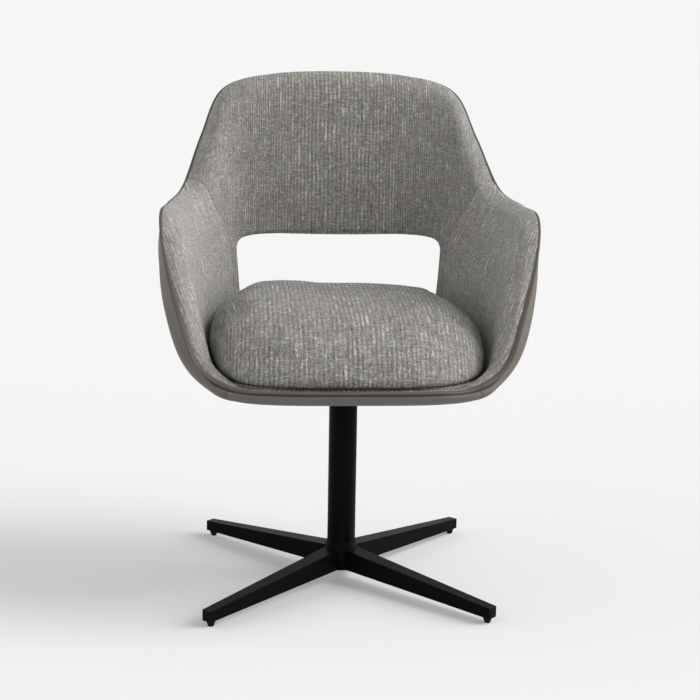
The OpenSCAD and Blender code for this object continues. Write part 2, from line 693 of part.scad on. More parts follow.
// Column with its bushes
module column() {
  color(steel_col) translate([0, 0, hub_bottom_z + hub_plug_t]) difference() {
    cylinder(r = column_r, h = column_z1 - hub_bottom_z - hub_plug_t, $fn = 64);
    translate([0, 0, -1]) cylinder(r = column_bore_r, h = column_z1, $fn = 64);
  }
}
bush_fit = 0.02;
module upper_bush() {
  color(bush_col) rotate_extrude($fn = 64) polygon([
    [spindle_r + run_gap, upper_bush_z0], [column_bore_r - bush_fit, upper_bush_z0],
    [column_bore_r - bush_fit, column_z1], [column_r, column_z1],
    [column_r, column_z1 + bush_collar_t], [spindle_r + run_gap, column_z1 + bush_collar_t]
  ]);
}
module lower_bush() {
  color(bush_col) translate([0, 0, lower_bush_z0]) difference() {
    cylinder(r = column_bore_r - bush_fit, h = lower_bush_l, $fn = 64);
    translate([0, 0, -1]) cylinder(r = spindle_r + run_gap, h = lower_bush_l + 2, $fn = 64);
  }
}
module thrust_washer() {
  color(zinc_col) translate([0, 0, thrust_z0]) difference() {
    cylinder(r = column_r - 1, h = thrust_t, $fn = 64);
    translate([0, 0, -1]) cylinder(r = spindle_r + 0.1, h = thrust_t + 2, $fn = 64);
  }
}

// Hub sleeve with its cone, and the plug that closes it from below
sleeve_fit = 0.02;
hub_r = hub_d / 2;
module hub() {
  color(steel_col) rotate_extrude($fn = 64) polygon([
    [column_r + sleeve_fit, hub_bottom_z],
    for (a = [0 : 15 : 90])
      [hub_r - hub_edge_r * (1 - sin(a)), hub_bottom_z + hub_edge_r * (1 - cos(a))],
    [hub_r, hub_top_z], [column_r + 0.6, hub_top_z + hub_cone_h],
    [column_r + sleeve_fit, hub_top_z + hub_cone_h]
  ]);
}
plug_spigot = 10;
module hub_plug() {
  color(plastic_col) rotate_extrude() polygon([
    [0, hub_bottom_z + 1], [column_r - 1, hub_bottom_z + 1], [column_r - bush_fit, hub_bottom_z + 2],
    [column_r - bush_fit, hub_bottom_z + hub_plug_t], [column_bore_r - bush_fit, hub_bottom_z + hub_plug_t],
    [column_bore_r - bush_fit, hub_bottom_z + hub_plug_t + plug_spigot],
    [column_bore_r - 2, hub_bottom_z + hub_plug_t + plug_spigot],
    [column_bore_r - 2, hub_bottom_z + hub_plug_t], [0, hub_bottom_z + hub_plug_t]
  ]);
}

// Legs: tapered rectangular tubes welded to the hub, each with an end cap and a glide
leg_tube_end = leg_reach - cap_t;
glide_reach = leg_reach - glide_inset;
leg_root_z = hub_top_z - leg_root_h - leg_drop;
leg_root_x = hub_r - leg_entry;
cap_fit = 0.15;
function leg_share(x) = (x - leg_root_x) / (leg_tube_end - leg_root_x);
function leg_w(x) = leg_root_w + (leg_tip_w - leg_root_w) * leg_share(x);
function leg_h(x) = leg_root_h + (leg_tip_h - leg_root_h) * leg_share(x);
function leg_z(x) = leg_root_z + (glide_h - leg_root_z) * leg_share(x);
// Solid whose top view and side view are the two given outlines
module two_views(top_view, side_view) {
  intersection() {
    linear_extrude(hub_top_z + hub_cone_h) polygon(top_view);
    rotate([90, 0, 0]) linear_extrude(2 * leg_root_w, center = true) polygon(side_view);
  }
}
module leg_taper(x0, x1, inset) {
  function side(x, share) = [x, leg_z(x) + inset + (leg_h(x) - 2 * inset) * share];
  function top(x, sign) = [x, sign * (leg_w(x) / 2 - inset)];
  two_views(
    [top(x0, -1), top(x1, -1), top(x1, 1), top(x0, 1)],
    [side(x0, 0), side(x1, 0), side(x1, 1), side(x0, 1)]
  );
}
module leg(angle) {
  color(steel_col) rotate(angle) difference() {
    leg_taper(leg_root_x, leg_tube_end, 0);
    leg_taper(leg_root_x - 1, leg_tube_end + 1, leg_wall);
    cylinder(r = hub_r + sleeve_fit, h = hub_top_z + hub_cone_h, $fn = 64);
    translate([glide_reach, 0, 0]) cylinder(d = glide_stem_d + 0.2, h = leg_z(glide_reach) + leg_wall + 2);
  }
}
cap_chamfer = 1;
module cap_plate() {
  c = cap_chamfer;
  w = leg_tip_w / 2;
  x0 = leg_tube_end;
  x1 = leg_reach;
  z0 = glide_h;
  z1 = glide_h + leg_tip_h;
  two_views(
    [[x0, -w], [x1 - c, -w], [x1, c - w], [x1, w - c], [x1 - c, w], [x0, w]],
    [[x0, z0], [x1 - c, z0], [x1, z0 + c], [x1, z1 - c], [x1 - c, z1], [x0, z1]]
  );
}
module end_cap(angle) {
  color(plastic_col) rotate(angle) difference() {
    union() {
      leg_taper(leg_tube_end - cap_plug, leg_tube_end, leg_wall + cap_fit);
      cap_plate();
    }
    translate([glide_reach, 0, 0]) cylinder(d = glide_stem_d + 0.04, h = glide_h + leg_tip_h - 4);
  }
}
glide_top = glide_h - 0.1;
module glide(angle) {
  color(plastic_col) rotate(angle) translate([glide_reach, 0, 0]) rotate_extrude() polygon([
    [0, 0], [glide_foot_d / 2 - 0.6, 0], [glide_foot_d / 2, 0.8],
    [glide_d / 2 - 0.3, glide_top - 2.4], [glide_d / 2, glide_top - 1.8], [glide_d / 2, glide_top],
    [glide_stem_d / 2, glide_top], [glide_stem_d / 2, glide_top + glide_stem_h], [0, glide_top + glide_stem_h]
  ]);
}
front_left = 225;
front_right = 315;
back_left = 135;
back_right = 45;

hub();
hub_plug();
column();
upper_bush();
lower_bush();
thrust_washer();
leg(front_left);  // leg_front_left
leg(front_right);  // leg_front_right
leg(back_left);  // leg_back_left
leg(back_right);  // leg_back_right
end_cap(front_left);  // end_cap_front_left
end_cap(front_right);  // end_cap_front_right
end_cap(back_left);  // end_cap_back_left
end_cap(back_right);  // end_cap_back_right
glide(front_left);  // glide_front_left
glide(front_right);  // glide_front_right
glide(back_left);  // glide_back_left
glide(back_right);  // glide_back_right
spindle();
spindle_washer();
spindle_clip();
mounting_plate();
plate_bolts();
tee_nuts();
seat_board();
dust_cover();
front_rail();
side_panel_left();
side_panel_right();
back_panel();
deck_pad();
front_pad();
arm_pad_left();
arm_pad_right();
back_pad();
front_cover();
side_cover_left();
side_cover_right();
back_cover();
edge_welt();
seat_cushion();
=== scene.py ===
"""Upholstered swivel armchair: soft goods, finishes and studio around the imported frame.

All sizes are metres in the frame's own axes: the column is the Z axis, the floor is z = 0 and
the front faces -Y. Shell surfaces are places (u, v): u counts stations from the middle of the
front (0) round the right side to the middle of the back (12) and on round the left side (24),
and v runs from the floor of the shell (0) to its edge (1).
"""
import logging
import math
from dataclasses import dataclass, field
from enum import Enum
from functools import partial
from typing import Callable, Sequence

import bmesh
import bpy
import numpy as np
from mathutils import Matrix, Vector, noise


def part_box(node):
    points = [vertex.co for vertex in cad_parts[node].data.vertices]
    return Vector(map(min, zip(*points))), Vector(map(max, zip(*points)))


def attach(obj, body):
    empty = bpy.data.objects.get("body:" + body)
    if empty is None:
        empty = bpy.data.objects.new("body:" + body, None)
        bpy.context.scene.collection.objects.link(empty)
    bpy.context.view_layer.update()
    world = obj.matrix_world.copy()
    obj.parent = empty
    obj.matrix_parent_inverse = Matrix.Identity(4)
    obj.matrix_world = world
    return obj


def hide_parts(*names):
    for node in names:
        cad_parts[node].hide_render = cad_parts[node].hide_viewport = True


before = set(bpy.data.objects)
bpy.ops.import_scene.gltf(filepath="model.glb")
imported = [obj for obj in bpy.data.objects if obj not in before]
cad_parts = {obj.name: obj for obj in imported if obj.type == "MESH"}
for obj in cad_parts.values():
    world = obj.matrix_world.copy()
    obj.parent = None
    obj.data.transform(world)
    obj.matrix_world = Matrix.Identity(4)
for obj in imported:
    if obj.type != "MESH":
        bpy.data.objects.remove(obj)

log = logging.getLogger("swivel_armchair")
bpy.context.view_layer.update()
MM = 0.001
BASE_BODY = "base"
SEAT_BODY = "seat"
WEAVE = "weave"
# Stations on either side of a place, between which a direction or a length is measured.
NUDGE = 0.05


def smoothstep(x: np.ndarray) -> np.ndarray:
    """Cubic ease between 0 and 1."""
    x = np.clip(x, 0, 1)
    return x * x * (3 - 2 * x)


def mix(a: float, b: float, share: float) -> float:
    """The value a given share of the way from a to b."""
    return a + (b - a) * share


def unit(vectors: np.ndarray) -> np.ndarray:
    """Vectors of length one, along the last axis."""
    return vectors / np.maximum(np.linalg.norm(vectors, axis=-1, keepdims=True), 1e-12)


def lengths_along(path: np.ndarray) -> np.ndarray:
    """Length from a path's first point to each of its points."""
    return np.concatenate([[0], np.cumsum(np.linalg.norm(np.diff(path, axis=0), axis=1))])


def wobble(points: np.ndarray, scale: float, seed: float) -> np.ndarray:
    """Smooth noise between about -1 and 1 at each point.

    Args:
        points: places, shape (n, 3), in metres.
        scale: size of one swell of the noise, in metres.
        seed: offset that makes one piece differ from another.

    Returns:
        One value for each point.
    """
    shift = Vector((seed, seed * 1.7, seed * 0.3))
    return np.array([noise.noise(Vector(p) / scale + shift) for p in points])


class StationLine:
    """Closed smooth line through the 13 stations of one side and their mirror images."""

    def __init__(self, stations: Sequence[Sequence[float]]) -> None:
        """Mirrors the stations. Args: stations: points from the front middle to the back middle."""
        side = np.array(stations, float)
        other = side[-2:0:-1].copy()
        other[:, 0] *= -1
        self.points = np.concatenate([side, other])

    def at(self, u: np.ndarray) -> np.ndarray:
        """Points of the line.

        Args:
            u: places along the line, in stations.

        Returns:
            One point for each place, in metres.
        """
        u = np.asarray(u, float)
        i = np.floor(u).astype(int)
        t = (u - i)[..., None]
        a, b, c, d = (self.points[(i + k) % len(self.points)] for k in (-1, 0, 1, 2))
        square = (2 * a - 5 * b + 4 * c - d) * t**2
        cube = (3 * b - a - 3 * c + d) * t**3
        return 0.5 * (2 * b + (c - a) * t + square + cube)


@dataclass
class ShellNet:
    """The shell's surfaces, from the same driving sizes as the solids.

    Every method works on arrays of places and returns points in metres.
    """

    arm_span: float = 628 * MM
    belt_z: float = 575 * MM
    rim_inset: float = 14 * MM
    arm_top_z: float = 652 * MM
    back_top_z: float = 860 * MM
    back_top_w: float = 414 * MM
    front_w: float = 382 * MM
    front_edge_z: float = 390 * MM
    front_reach: float = 264 * MM
    back_reach: float = 264 * MM
    shell_bottom_z: float = 360 * MM
    deck_z: float = 392 * MM
    floor_flare: float = 32 * MM
    foot_width_share: float = 0.81
    foot_depth_share: float = 0.9
    rim_t: float = 46 * MM
    rim_crown: float = 9 * MM
    cover_t: float = 3 * MM
    panel_t: float = 10 * MM
    layer_gap: float = 0.35 * MM
    welt_w: float = 8.5 * MM
    welt_top_w: float = 3.4 * MM
    welt_depth: float = 4.5 * MM
    welt_proud: float = 1 * MM
    side_extra: float = 1.2 * MM
    opening_w: float = 356 * MM
    opening_top_z: float = 578 * MM
    opening_bottom_z: float = 446 * MM
    opening_power: float = 4.5
    seam_low_lean: float = 0.65
    seam_top_lean: float = 0.3
    front_station: float = 2.0
    back_station: float = 8.5
    last: int = 12
    belt_v: float = 0.5
    wall_rounding: float = 42 * MM
    edge_rounding: float = 24 * MM
    tuck: float = 0.4 * MM

    # The station where a change along the edge starts or ends, and how many stations it takes.
    CROWN_GROWS = (1.7, 2.3)
    STRIP_NARROWS = (3.0, 2.6)
    LEVEL_ENDS = (4.7, 1.6)
    SIDE_EDGE_STARTS = (7.6, 0.7)
    SIDE_EDGE_ENDS = (10.7, 0.9)
    # Shapes of the outer face near the edge and of the padded edge's crown.
    FACE_POWER = 1.6
    CROWN_POWER = 2.6
    LOW_CROWN = 0.12
    # How far across the edge the cloth stays level with the strip, and how high.
    LEVEL_REACH = 0.55
    LEVEL_RISE = 1.3
    SIDE_LEVEL = 0.9
    # Rise of the cloth where it goes under the strip.
    TUCK_RISE = 0.6
    # The largest share of a face or wall that a rounding or a drop takes up.
    MOST_SHARE = 0.45
    LEAST_STEEP = 0.4

    def __post_init__(self) -> None:
        """Works the station lines out of the driving sizes."""
        self._lines()
        self.floor_centre = np.array([0, mix(-self.front_reach, self.back_reach, 0.462)])
        self.open_mid_z = (self.opening_top_z + self.opening_bottom_z) / 2
        self.open_half_h = (self.opening_top_z - self.opening_bottom_z) / 2
        self.open_u = self._opening_station()
        self.open_span = self.last - self.open_u
        self.open_top_v = float(self.v_of_z(np.array(12.0), np.array(self.opening_top_z)))
        self.pad_depth = self.cover_t + self.panel_t + 2 * self.layer_gap

    def _lines(self) -> None:
        """Builds the edge line, the widest line, the floor outline and the step to the inner edge."""
        belt_hw = self.arm_span / 2
        rim_hw = belt_hw - self.rim_inset
        back_hw = self.back_top_w / 2
        front_hw = self.front_w / 2
        floor_hw = front_hw + self.floor_flare

        y = partial(mix, -self.front_reach, self.back_reach)
        front_rim, back_rim = partial(mix, front_hw, rim_hw), partial(mix, back_hw, rim_hw)
        front_belt, back_belt = partial(mix, front_hw, belt_hw), partial(mix, back_hw, belt_hw)
        band_z = partial(mix, self.shell_bottom_z, self.front_edge_z)
        arm_z = partial(mix, self.front_edge_z, self.arm_top_z)
        back_z = partial(mix, self.arm_top_z, self.back_top_z)
        low_z = partial(mix, self.front_edge_z, self.belt_z)
        high_z = partial(mix, self.belt_z, self.arm_top_z)
        self.floor_hw = floor_hw
        self.rim = StationLine([
            (0, y(0), self.front_edge_z),
            (front_hw * 0.63, y(0.01), self.front_edge_z),
            (front_hw, y(0.0625), self.front_edge_z),
            (front_rim(0.517), y(0.121), arm_z(0.115)),
            (front_rim(0.786), y(0.174), arm_z(0.42)),
            (front_rim(0.991), y(0.235), arm_z(0.763)),
            (front_rim(1.051), y(0.32), arm_z(0.973)),
            (back_rim(0.963), y(0.5), self.arm_top_z),
            (back_rim(0.729), y(0.708), back_z(0.086)),
            (back_rim(0.405), y(0.856), back_z(0.477)),
            (back_hw, y(0.947), back_z(0.851)),
            (back_hw * 0.58, y(0.99), back_z(0.971)),
            (0, y(1), self.back_top_z),
        ])
        self.belt = StationLine([
            (0, y(0), band_z(0.77)),
            (front_hw * 0.653, y(0.0076), band_z(0.75)),
            (front_belt(0.081), y(0.053), band_z(0.81)),
            (front_belt(0.374), y(0.114), low_z(0.07)),
            (front_belt(0.725), y(0.193), low_z(0.392)),
            (front_belt(0.924), y(0.288), low_z(0.887)),
            (front_belt(0.938), y(0.415), self.belt_z),
            (back_belt(0.991), y(0.566), high_z(0.026)),
            (back_belt(0.785), y(0.7235), high_z(0.104)),
            (back_belt(0.414), y(0.837), high_z(0.26)),
            (back_hw, y(0.898), high_z(0.416)),
            (back_hw * 0.57, y(0.922), high_z(0.4545)),
            (0, y(0.928), high_z(0.4545)),
        ])
        bottom = self.shell_bottom_z
        self.floor = StationLine([
            (0, y(0.0606), bottom),
            (floor_hw * 0.52, y(0.0644), bottom),
            (floor_hw * 0.785, y(0.0947), bottom),
            (floor_hw * 0.919, y(0.144), bottom),
            (floor_hw * 0.973, y(0.208), bottom),
            (floor_hw, y(0.284), bottom),
            (floor_hw, y(0.386), bottom),
            (floor_hw * 0.978, y(0.519), bottom),
            (floor_hw * 0.91, y(0.67), bottom),
            (floor_hw * 0.821, y(0.765), bottom),
            (floor_hw * 0.673, y(0.824), bottom),
            (floor_hw * 0.35, y(0.85), bottom),
            (0, y(0.858), bottom),
        ])
        self.rim_step = StationLine([
            (0, 0.56, -0.02), (-0.09, 0.56, -0.02), (-0.3, 0.44, 0.02), (-0.52, 0.44, 0.13),
            (-0.74, 0.35, 0.04), (-0.87, 0.26, -0.22), (-0.96, 0.17, -0.48), (-1, -0.09, -0.56),
            (-1, -0.48, -0.56), (-0.83, -0.74, -0.48), (-0.52, -0.87, -0.56), (-0.17, -0.96, -0.65),
            (0, -0.96, -0.65),
        ])

    def fold(self, u: np.ndarray) -> np.ndarray:
        """Stations counted from the front middle on whichever side u is."""
        u = np.mod(u, 2 * self.last)
        return np.where(u > self.last, 2 * self.last - u, u)

    def side_sign(self, u: np.ndarray) -> np.ndarray:
        """1 on the side that u grows along to the back, -1 on the way back to the front."""
        return np.where(np.mod(u, 2 * self.last) > self.last, -1.0, 1.0)

    def inner_rim(self, u: np.ndarray) -> np.ndarray:
        """Inner edge line."""
        return self.rim.at(u) + self.rim_t * self.rim_step.at(u)

    def edge_width(self, u: np.ndarray) -> np.ndarray:
        """Width of the padded edge, from the outer edge line to the inner one."""
        return np.linalg.norm(self.inner_rim(u) - self.rim.at(u), axis=-1)

    def edge_shares(self) -> np.ndarray:
        """Shares of the way across the padded edge at which the pads have a row."""
        return graded(self.rim_t, 4 * MM, 1 * MM, both=False)

    def floor_point(self, u: np.ndarray, z: np.ndarray) -> np.ndarray:
        """Edge of the shell's floor, which slopes in from the deck to the smaller flat underside."""
        deck = self.floor.at(u)
        share = (z - self.shell_bottom_z) / (self.deck_z - self.shell_bottom_z)
        back_y = self.floor.points[self.last, 1]
        x = deck[..., 0] * mix(self.foot_width_share, 1, share)
        y = mix(back_y, deck[..., 1], mix(self.foot_depth_share, 1, share))
        return np.stack([x, y, z + 0 * x], -1)

    def outer(self, u: np.ndarray, v: np.ndarray) -> np.ndarray:
        """Outer face: a quarter ellipse from the floor to the widest line, then on to the edge."""
        belt, rim = self.belt.at(u), self.rim.at(u)
        floor = self.floor_point(u, np.full(np.shape(u), self.shell_bottom_z))
        w = np.clip(v / self.belt_v, 0, 1)[..., None]
        s = np.clip((v - self.belt_v) / (1 - self.belt_v), 0, None)[..., None]
        h = np.sqrt(1 - (1 - w) ** 2)
        low = self._between(floor, belt, h, w)
        high = self._between(belt, rim, s**self.FACE_POWER, s)
        return np.where((np.asarray(v) <= self.belt_v)[..., None], low, high)

    @staticmethod
    def _between(start: np.ndarray, end: np.ndarray, out: np.ndarray, up: np.ndarray) -> np.ndarray:
        """Points on the way from one line to another, with shares of their own outward and upward."""
        plan = start[..., :2] + (end - start)[..., :2] * out
        return np.concatenate([plan, mix(start[..., 2:], end[..., 2:], up)], -1)

    def inner(self, u: np.ndarray, v: np.ndarray) -> np.ndarray:
        """Inner face of the wall: straight from the floor outline to the inner edge line."""
        foot = self.floor.at(u).copy()
        foot[..., 2] = self.deck_z
        v = np.asarray(v)[..., None]
        return foot * (1 - v) + self.inner_rim(u) * v

    def at_depth(self, u: np.ndarray, v: np.ndarray, d: np.ndarray) -> np.ndarray:
        """Points a distance d below the outer face."""
        a, b = self.outer(u, v), self.inner(u, v)
        span = np.linalg.norm(b - a, axis=-1)
        return a + (b - a) * np.minimum(1, d / span)[..., None]

    def rim_normal(self, u: np.ndarray) -> np.ndarray:
        """Direction that the padded edge swells in."""
        along = self.rim.at(u + NUDGE) - self.rim.at(u - NUDGE)
        across = self.inner_rim(u) - self.rim.at(u)
        return unit(np.cross(along, across))

    def rim_cap(self, u: np.ndarray, t: np.ndarray) -> np.ndarray:
        """Points of the padded edge, from the outer edge line (t = 0) to the inner one (t = 1)."""
        start, length = self.CROWN_GROWS
        share = np.clip((self.fold(u) - start) / length, self.LOW_CROWN, 1)
        bow = np.sqrt(np.clip(1 - np.abs(2 * t - 1) ** self.CROWN_POWER, 0, None))
        rise = self.rim_crown * share * bow
        t = np.asarray(t)[..., None]
        return self.rim.at(u) * (1 - t) + self.inner_rim(u) * t + self.rim_normal(u) * rise[..., None]

    def strip_width(self, u: np.ndarray) -> np.ndarray:
        """Width of the edge strip that shows: narrower on the arms' tops and the back."""
        start, length = self.STRIP_NARROWS
        narrow = mix(self.welt_w, self.welt_top_w, smoothstep((self.fold(u) - start) / length))
        return narrow + self.side_extra * self.side_edge(u)

    def pad_start(self, u: np.ndarray) -> np.ndarray:
        """Distance across the edge at which the cloth comes out from under the strip."""
        return self.strip_width(u) - self.tuck

    def side_edge(self, u: np.ndarray) -> np.ndarray:
        """One along the back's two side edges, where the strip shows as a thin dark line of painted shade,
        else zero.
        """
        fold = self.fold(u)
        start, rise = self.SIDE_EDGE_STARTS
        end, fall = self.SIDE_EDGE_ENDS
        return smoothstep((fold - start) / rise) * smoothstep((end - fold) / fall)

    def soft_cap(self, u: np.ndarray, t: np.ndarray) -> np.ndarray:
        """Points of the padded edge as the cloth lies on it: level with the strip where it starts."""
        start = self.pad_start(u) / self.edge_width(u)
        end, length = self.LEVEL_ENDS
        front = 1 - smoothstep((self.fold(u) - end) / length)
        share = np.clip(1 - (t - start) / (self.LEVEL_REACH - start), 0, 1) ** 2
        share = share * np.maximum(front, self.SIDE_LEVEL * self.side_edge(u))
        plain = self.rim.at(u) * (1 - t[..., None]) + self.inner_rim(u) * t[..., None]
        level = plain + self.rim_normal(u) * self.welt_proud * self.LEVEL_RISE
        return mix(self.rim_cap(u, t), level, share[..., None])

    def face_length(self, u: np.ndarray) -> np.ndarray:
        """Length of the inner face from the floor outline up to the inner edge line."""
        return np.linalg.norm(self.inner_rim(u) - self.inner(u, np.zeros(np.shape(u))), axis=-1)

    def pad_face(self, u: np.ndarray, below: np.ndarray) -> tuple[np.ndarray, np.ndarray]:
        """The pads' visible surface, with a soft rounding between the padded edge and the wall.

        Args:
            u: stations.
            below: distance down the inner face from its edge line, in metres. Values below
                zero count back across the padded edge.

        Returns:
            Points, and at each the direction into the pad.
        """
        rim, corner, normal = self.rim.at(u), self.inner_rim(u), self.rim_normal(u)
        face = self.face_length(u)
        down = (self.inner(u, np.zeros(np.shape(u))) - corner) / face[..., None]
        across = self.edge_width(u)
        share = np.minimum(1, self.MOST_SHARE * face / self.wall_rounding)
        wall, edge = self.wall_rounding * share, self.edge_rounding * share
        v = np.clip(1 - below / face, 0, 1)
        t = np.clip(1 + below / across, 0, 1)
        plain = np.where((below < 0)[..., None], self.soft_cap(u, t), self.inner(u, v))
        edge_t = 1 - edge / across
        start = self.soft_cap(u, edge_t)
        rise = ((start - rim - (corner - rim) * edge_t[..., None]) * normal).sum(-1)
        steep = np.maximum(self.LEAST_STEEP, -(down * normal).sum(-1))
        middle = corner - down * (rise / steep)[..., None]
        end = corner + down * wall[..., None]
        s = np.clip((below + edge) / (wall + edge), 0, 1)[..., None]
        soft = (1 - s) ** 2 * start + 2 * s * (1 - s) * middle + s**2 * end
        rounded = ((below > -edge) & (below < wall))[..., None]
        into_wall = unit(self.outer(u, v) - self.inner(u, v))
        return np.where(rounded, soft, plain), unit(mix(-normal, into_wall, smoothstep(s)))

    def below_rim_v(self, u: np.ndarray, drop: float) -> np.ndarray:
        """Share of the wall's height that lies a given distance below the edge line."""
        span = np.linalg.norm(self.rim.at(u) - self.belt.at(u), axis=-1)
        return 1 - (1 - self.belt_v) * np.minimum(self.MOST_SHARE, drop / span)

    def strip_top(self, u: np.ndarray, d: np.ndarray, rise: float) -> np.ndarray:
        """Points of the edge strip's top, distances d from the edge line across the wall."""
        r = self.rim.at(u)
        across = unit(self.inner_rim(u) - r) * np.broadcast_to(d, np.shape(u))[..., None]
        return r + across + self.rim_normal(u) * (self.welt_proud * rise)

    def v_of_z(self, u: np.ndarray, z: np.ndarray) -> np.ndarray:
        """Share of the inner face's height at which it has height z."""
        f = np.maximum(self.fold(u), self.back_station)
        return (z - self.deck_z) / (self.inner_rim(f)[..., 2] - self.deck_z)

    def _opening_station(self) -> float:
        """The station at which the opening begins, found by halving."""
        low, high = self.back_station, self.last - 1.0
        for _ in range(30):
            middle = np.array((low + high) / 2)
            x = self.inner(middle, self.v_of_z(middle, np.array(self.open_mid_z)))[0]
            low, high = (float(middle), high) if x > self.opening_w / 2 else (low, float(middle))
        return low

    def lean(self, u: np.ndarray, v: np.ndarray) -> np.ndarray:
        """Stations moved along with the leaning seams between arms and back."""
        f = self.fold(u)
        share = smoothstep((v - self.open_top_v) / (1 - self.open_top_v))
        amount = mix(self.seam_low_lean, -self.seam_top_lean, share)
        before = np.clip((f - self.front_station) / (self.back_station - self.front_station), 0, 1)
        after = np.clip((self.open_u - f) / (self.open_u - self.back_station), 0, 1)
        return u + self.side_sign(u) * amount * np.where(f < self.back_station, before, after)


def graded(length: float, step: float, fine: float, both: bool = True) -> np.ndarray:
    """Shares from 0 to 1 whose steps grow from fine at the ends to step in the middle.

    Args:
        length: real length that the shares divide, in metres.
        step: widest step, in metres.
        fine: step at an end, in metres.
        both: True if the last end is fine too.

    Returns:
        Rising shares that start at 0 and end at 1.
    """
    steps, size = [], fine
    reach = length / 2 if both else length
    while sum(steps) + size < reach:
        steps.append(size)
        size = min(step, size * 1.35)
    steps.append(reach - sum(steps))
    run = np.array(steps + steps[::-1] if both else steps)
    return np.concatenate([[0], np.cumsum(run)]) / run.sum()


def build_mesh(
    name: str, points: np.ndarray, faces: Sequence[Sequence[int]], weave: np.ndarray | None = None
) -> bpy.types.Object:
    """Makes a smooth-shaded object and merges points that meet.

    Args:
        name: name of the piece.
        points: places, shape (n, 3), in metres.
        faces: point numbers of each face.
        weave: coordinates of the cloth or leather at each point, shape (n, 3), in metres.

    Returns:
        The new object, linked to the scene.
    """
    mesh = bpy.data.meshes.new(name)
    mesh.from_pydata(points.tolist(), [], [list(f) for f in faces])
    if weave is not None:
        layer = mesh.attributes.new(WEAVE, "FLOAT_VECTOR", "POINT")
        layer.data.foreach_set("vector", np.ascontiguousarray(weave, np.float32).ravel())
    work = bmesh.new()
    work.from_mesh(mesh)
    bmesh.ops.remove_doubles(work, verts=work.verts, dist=2e-6)
    bmesh.ops.dissolve_degenerate(work, edges=work.edges, dist=1e-6)
    bmesh.ops.recalc_face_normals(work, faces=work.faces)
    for face in work.faces:
        face.smooth = True
    work.to_mesh(mesh)
    work.free()
    mesh.update()
    made = bpy.data.objects.new(name, mesh)
    bpy.context.scene.collection.objects.link(made)
    return made


def ring_faces(rows: int, columns: int, close_rows: bool, close_columns: bool) -> list[tuple[int, ...]]:
    """Faces of a grid whose points are numbered row by row.

    Args:
        rows: number of rows.
        columns: number of columns.
        close_rows: True if the last row joins the first.
        close_columns: True if the last column joins the first.

    Returns:
        Four point numbers for each face.
    """
    last_row = rows if close_rows else rows - 1
    last_column = columns if close_columns else columns - 1
    return [
        (i * columns + j, i * columns + (j + 1) % columns,
         (i + 1) % rows * columns + (j + 1) % columns, (i + 1) % rows * columns + j)
        for i in range(last_row) for j in range(last_column)
    ]


def ladder_faces(rows: int, columns: int, column: int, rungs: int) -> list[tuple[int, ...]]:
    """Faces that close one end of a closed section, by rungs between its two halves.

    Args:
        rows: points in the closed section.
        columns: columns of the grid.
        column: the column that the end lies on.
        rungs: number of faces.

    Returns:
        The faces of that end.
    """
    return [
        tuple(i * columns + column for i in (k, k + 1, rows - 2 - k, rows - 1 - k))
        for k in range(rungs)
    ]


def cap_faces(rows: int, columns: int) -> list[list[int]]:
    """One face over the first row and one over the last. Args: rows, columns: the grid. Returns: both."""
    return [list(range(columns))[::-1], [(rows - 1) * columns + k for k in range(columns)]]


def grid_mesh(
    name: str, rows: Sequence[np.ndarray], closed: tuple[bool, bool], ends: Sequence[Sequence[int]] = (),
    weave: Sequence[np.ndarray] | None = None,
) -> bpy.types.Object:
    """Makes an object from rows of points.

    Args:
        name: name of the piece.
        rows: the rows, each of shape (n, 3), in metres.
        closed: whether the last row joins the first, and the last column the first.
        ends: further faces, which close what stays open.
        weave: rows of cloth or leather coordinates, in metres.

    Returns:
        The new object.
    """
    points = np.array(rows)
    faces = [*ring_faces(*points.shape[:2], *closed), *ends]
    laid = None if weave is None else np.array(weave).reshape(-1, 3)
    return build_mesh(name, points.reshape(-1, 3), faces, laid)


@dataclass
class Upholstery:
    """Measures that the padded panels share."""

    step: float = 4.5 * MM
    fine: float = 0.5 * MM
    seam_radius: float = 2.0 * MM
    seam_dip: float = 0.7 * MM
    draw_in: float = 0.6 * MM
    draw_reach: float = 14 * MM
    ripple: float = 0.6 * MM
    ripple_size: float = 60 * MM
    strip_reach: float = 22 * MM

    def lie(self, seam: np.ndarray, strip: np.ndarray, swell: np.ndarray) -> np.ndarray:
        """Depth of the cloth below the plain surface.

        Args:
            seam: distance from the nearer seam, in metres.
            strip: distance from the edge strip, in metres.
            swell: noise between about -1 and 1.

        Returns:
            Depths in metres.
        """
        loose = smoothstep(np.minimum(seam, strip) / self.strip_reach)
        return self.dip(seam) + self.ripple * (1 + swell) * loose

    def dip(self, distance: np.ndarray) -> np.ndarray:
        """Depth that the cloth lies below its plain face, by its distance from a seam."""
        x = np.clip(1 - distance / self.seam_radius, 0, 1)
        return self.seam_dip * (1 - np.sqrt(1 - x**2)) + self.draw_in * np.exp(-distance / self.draw_reach)


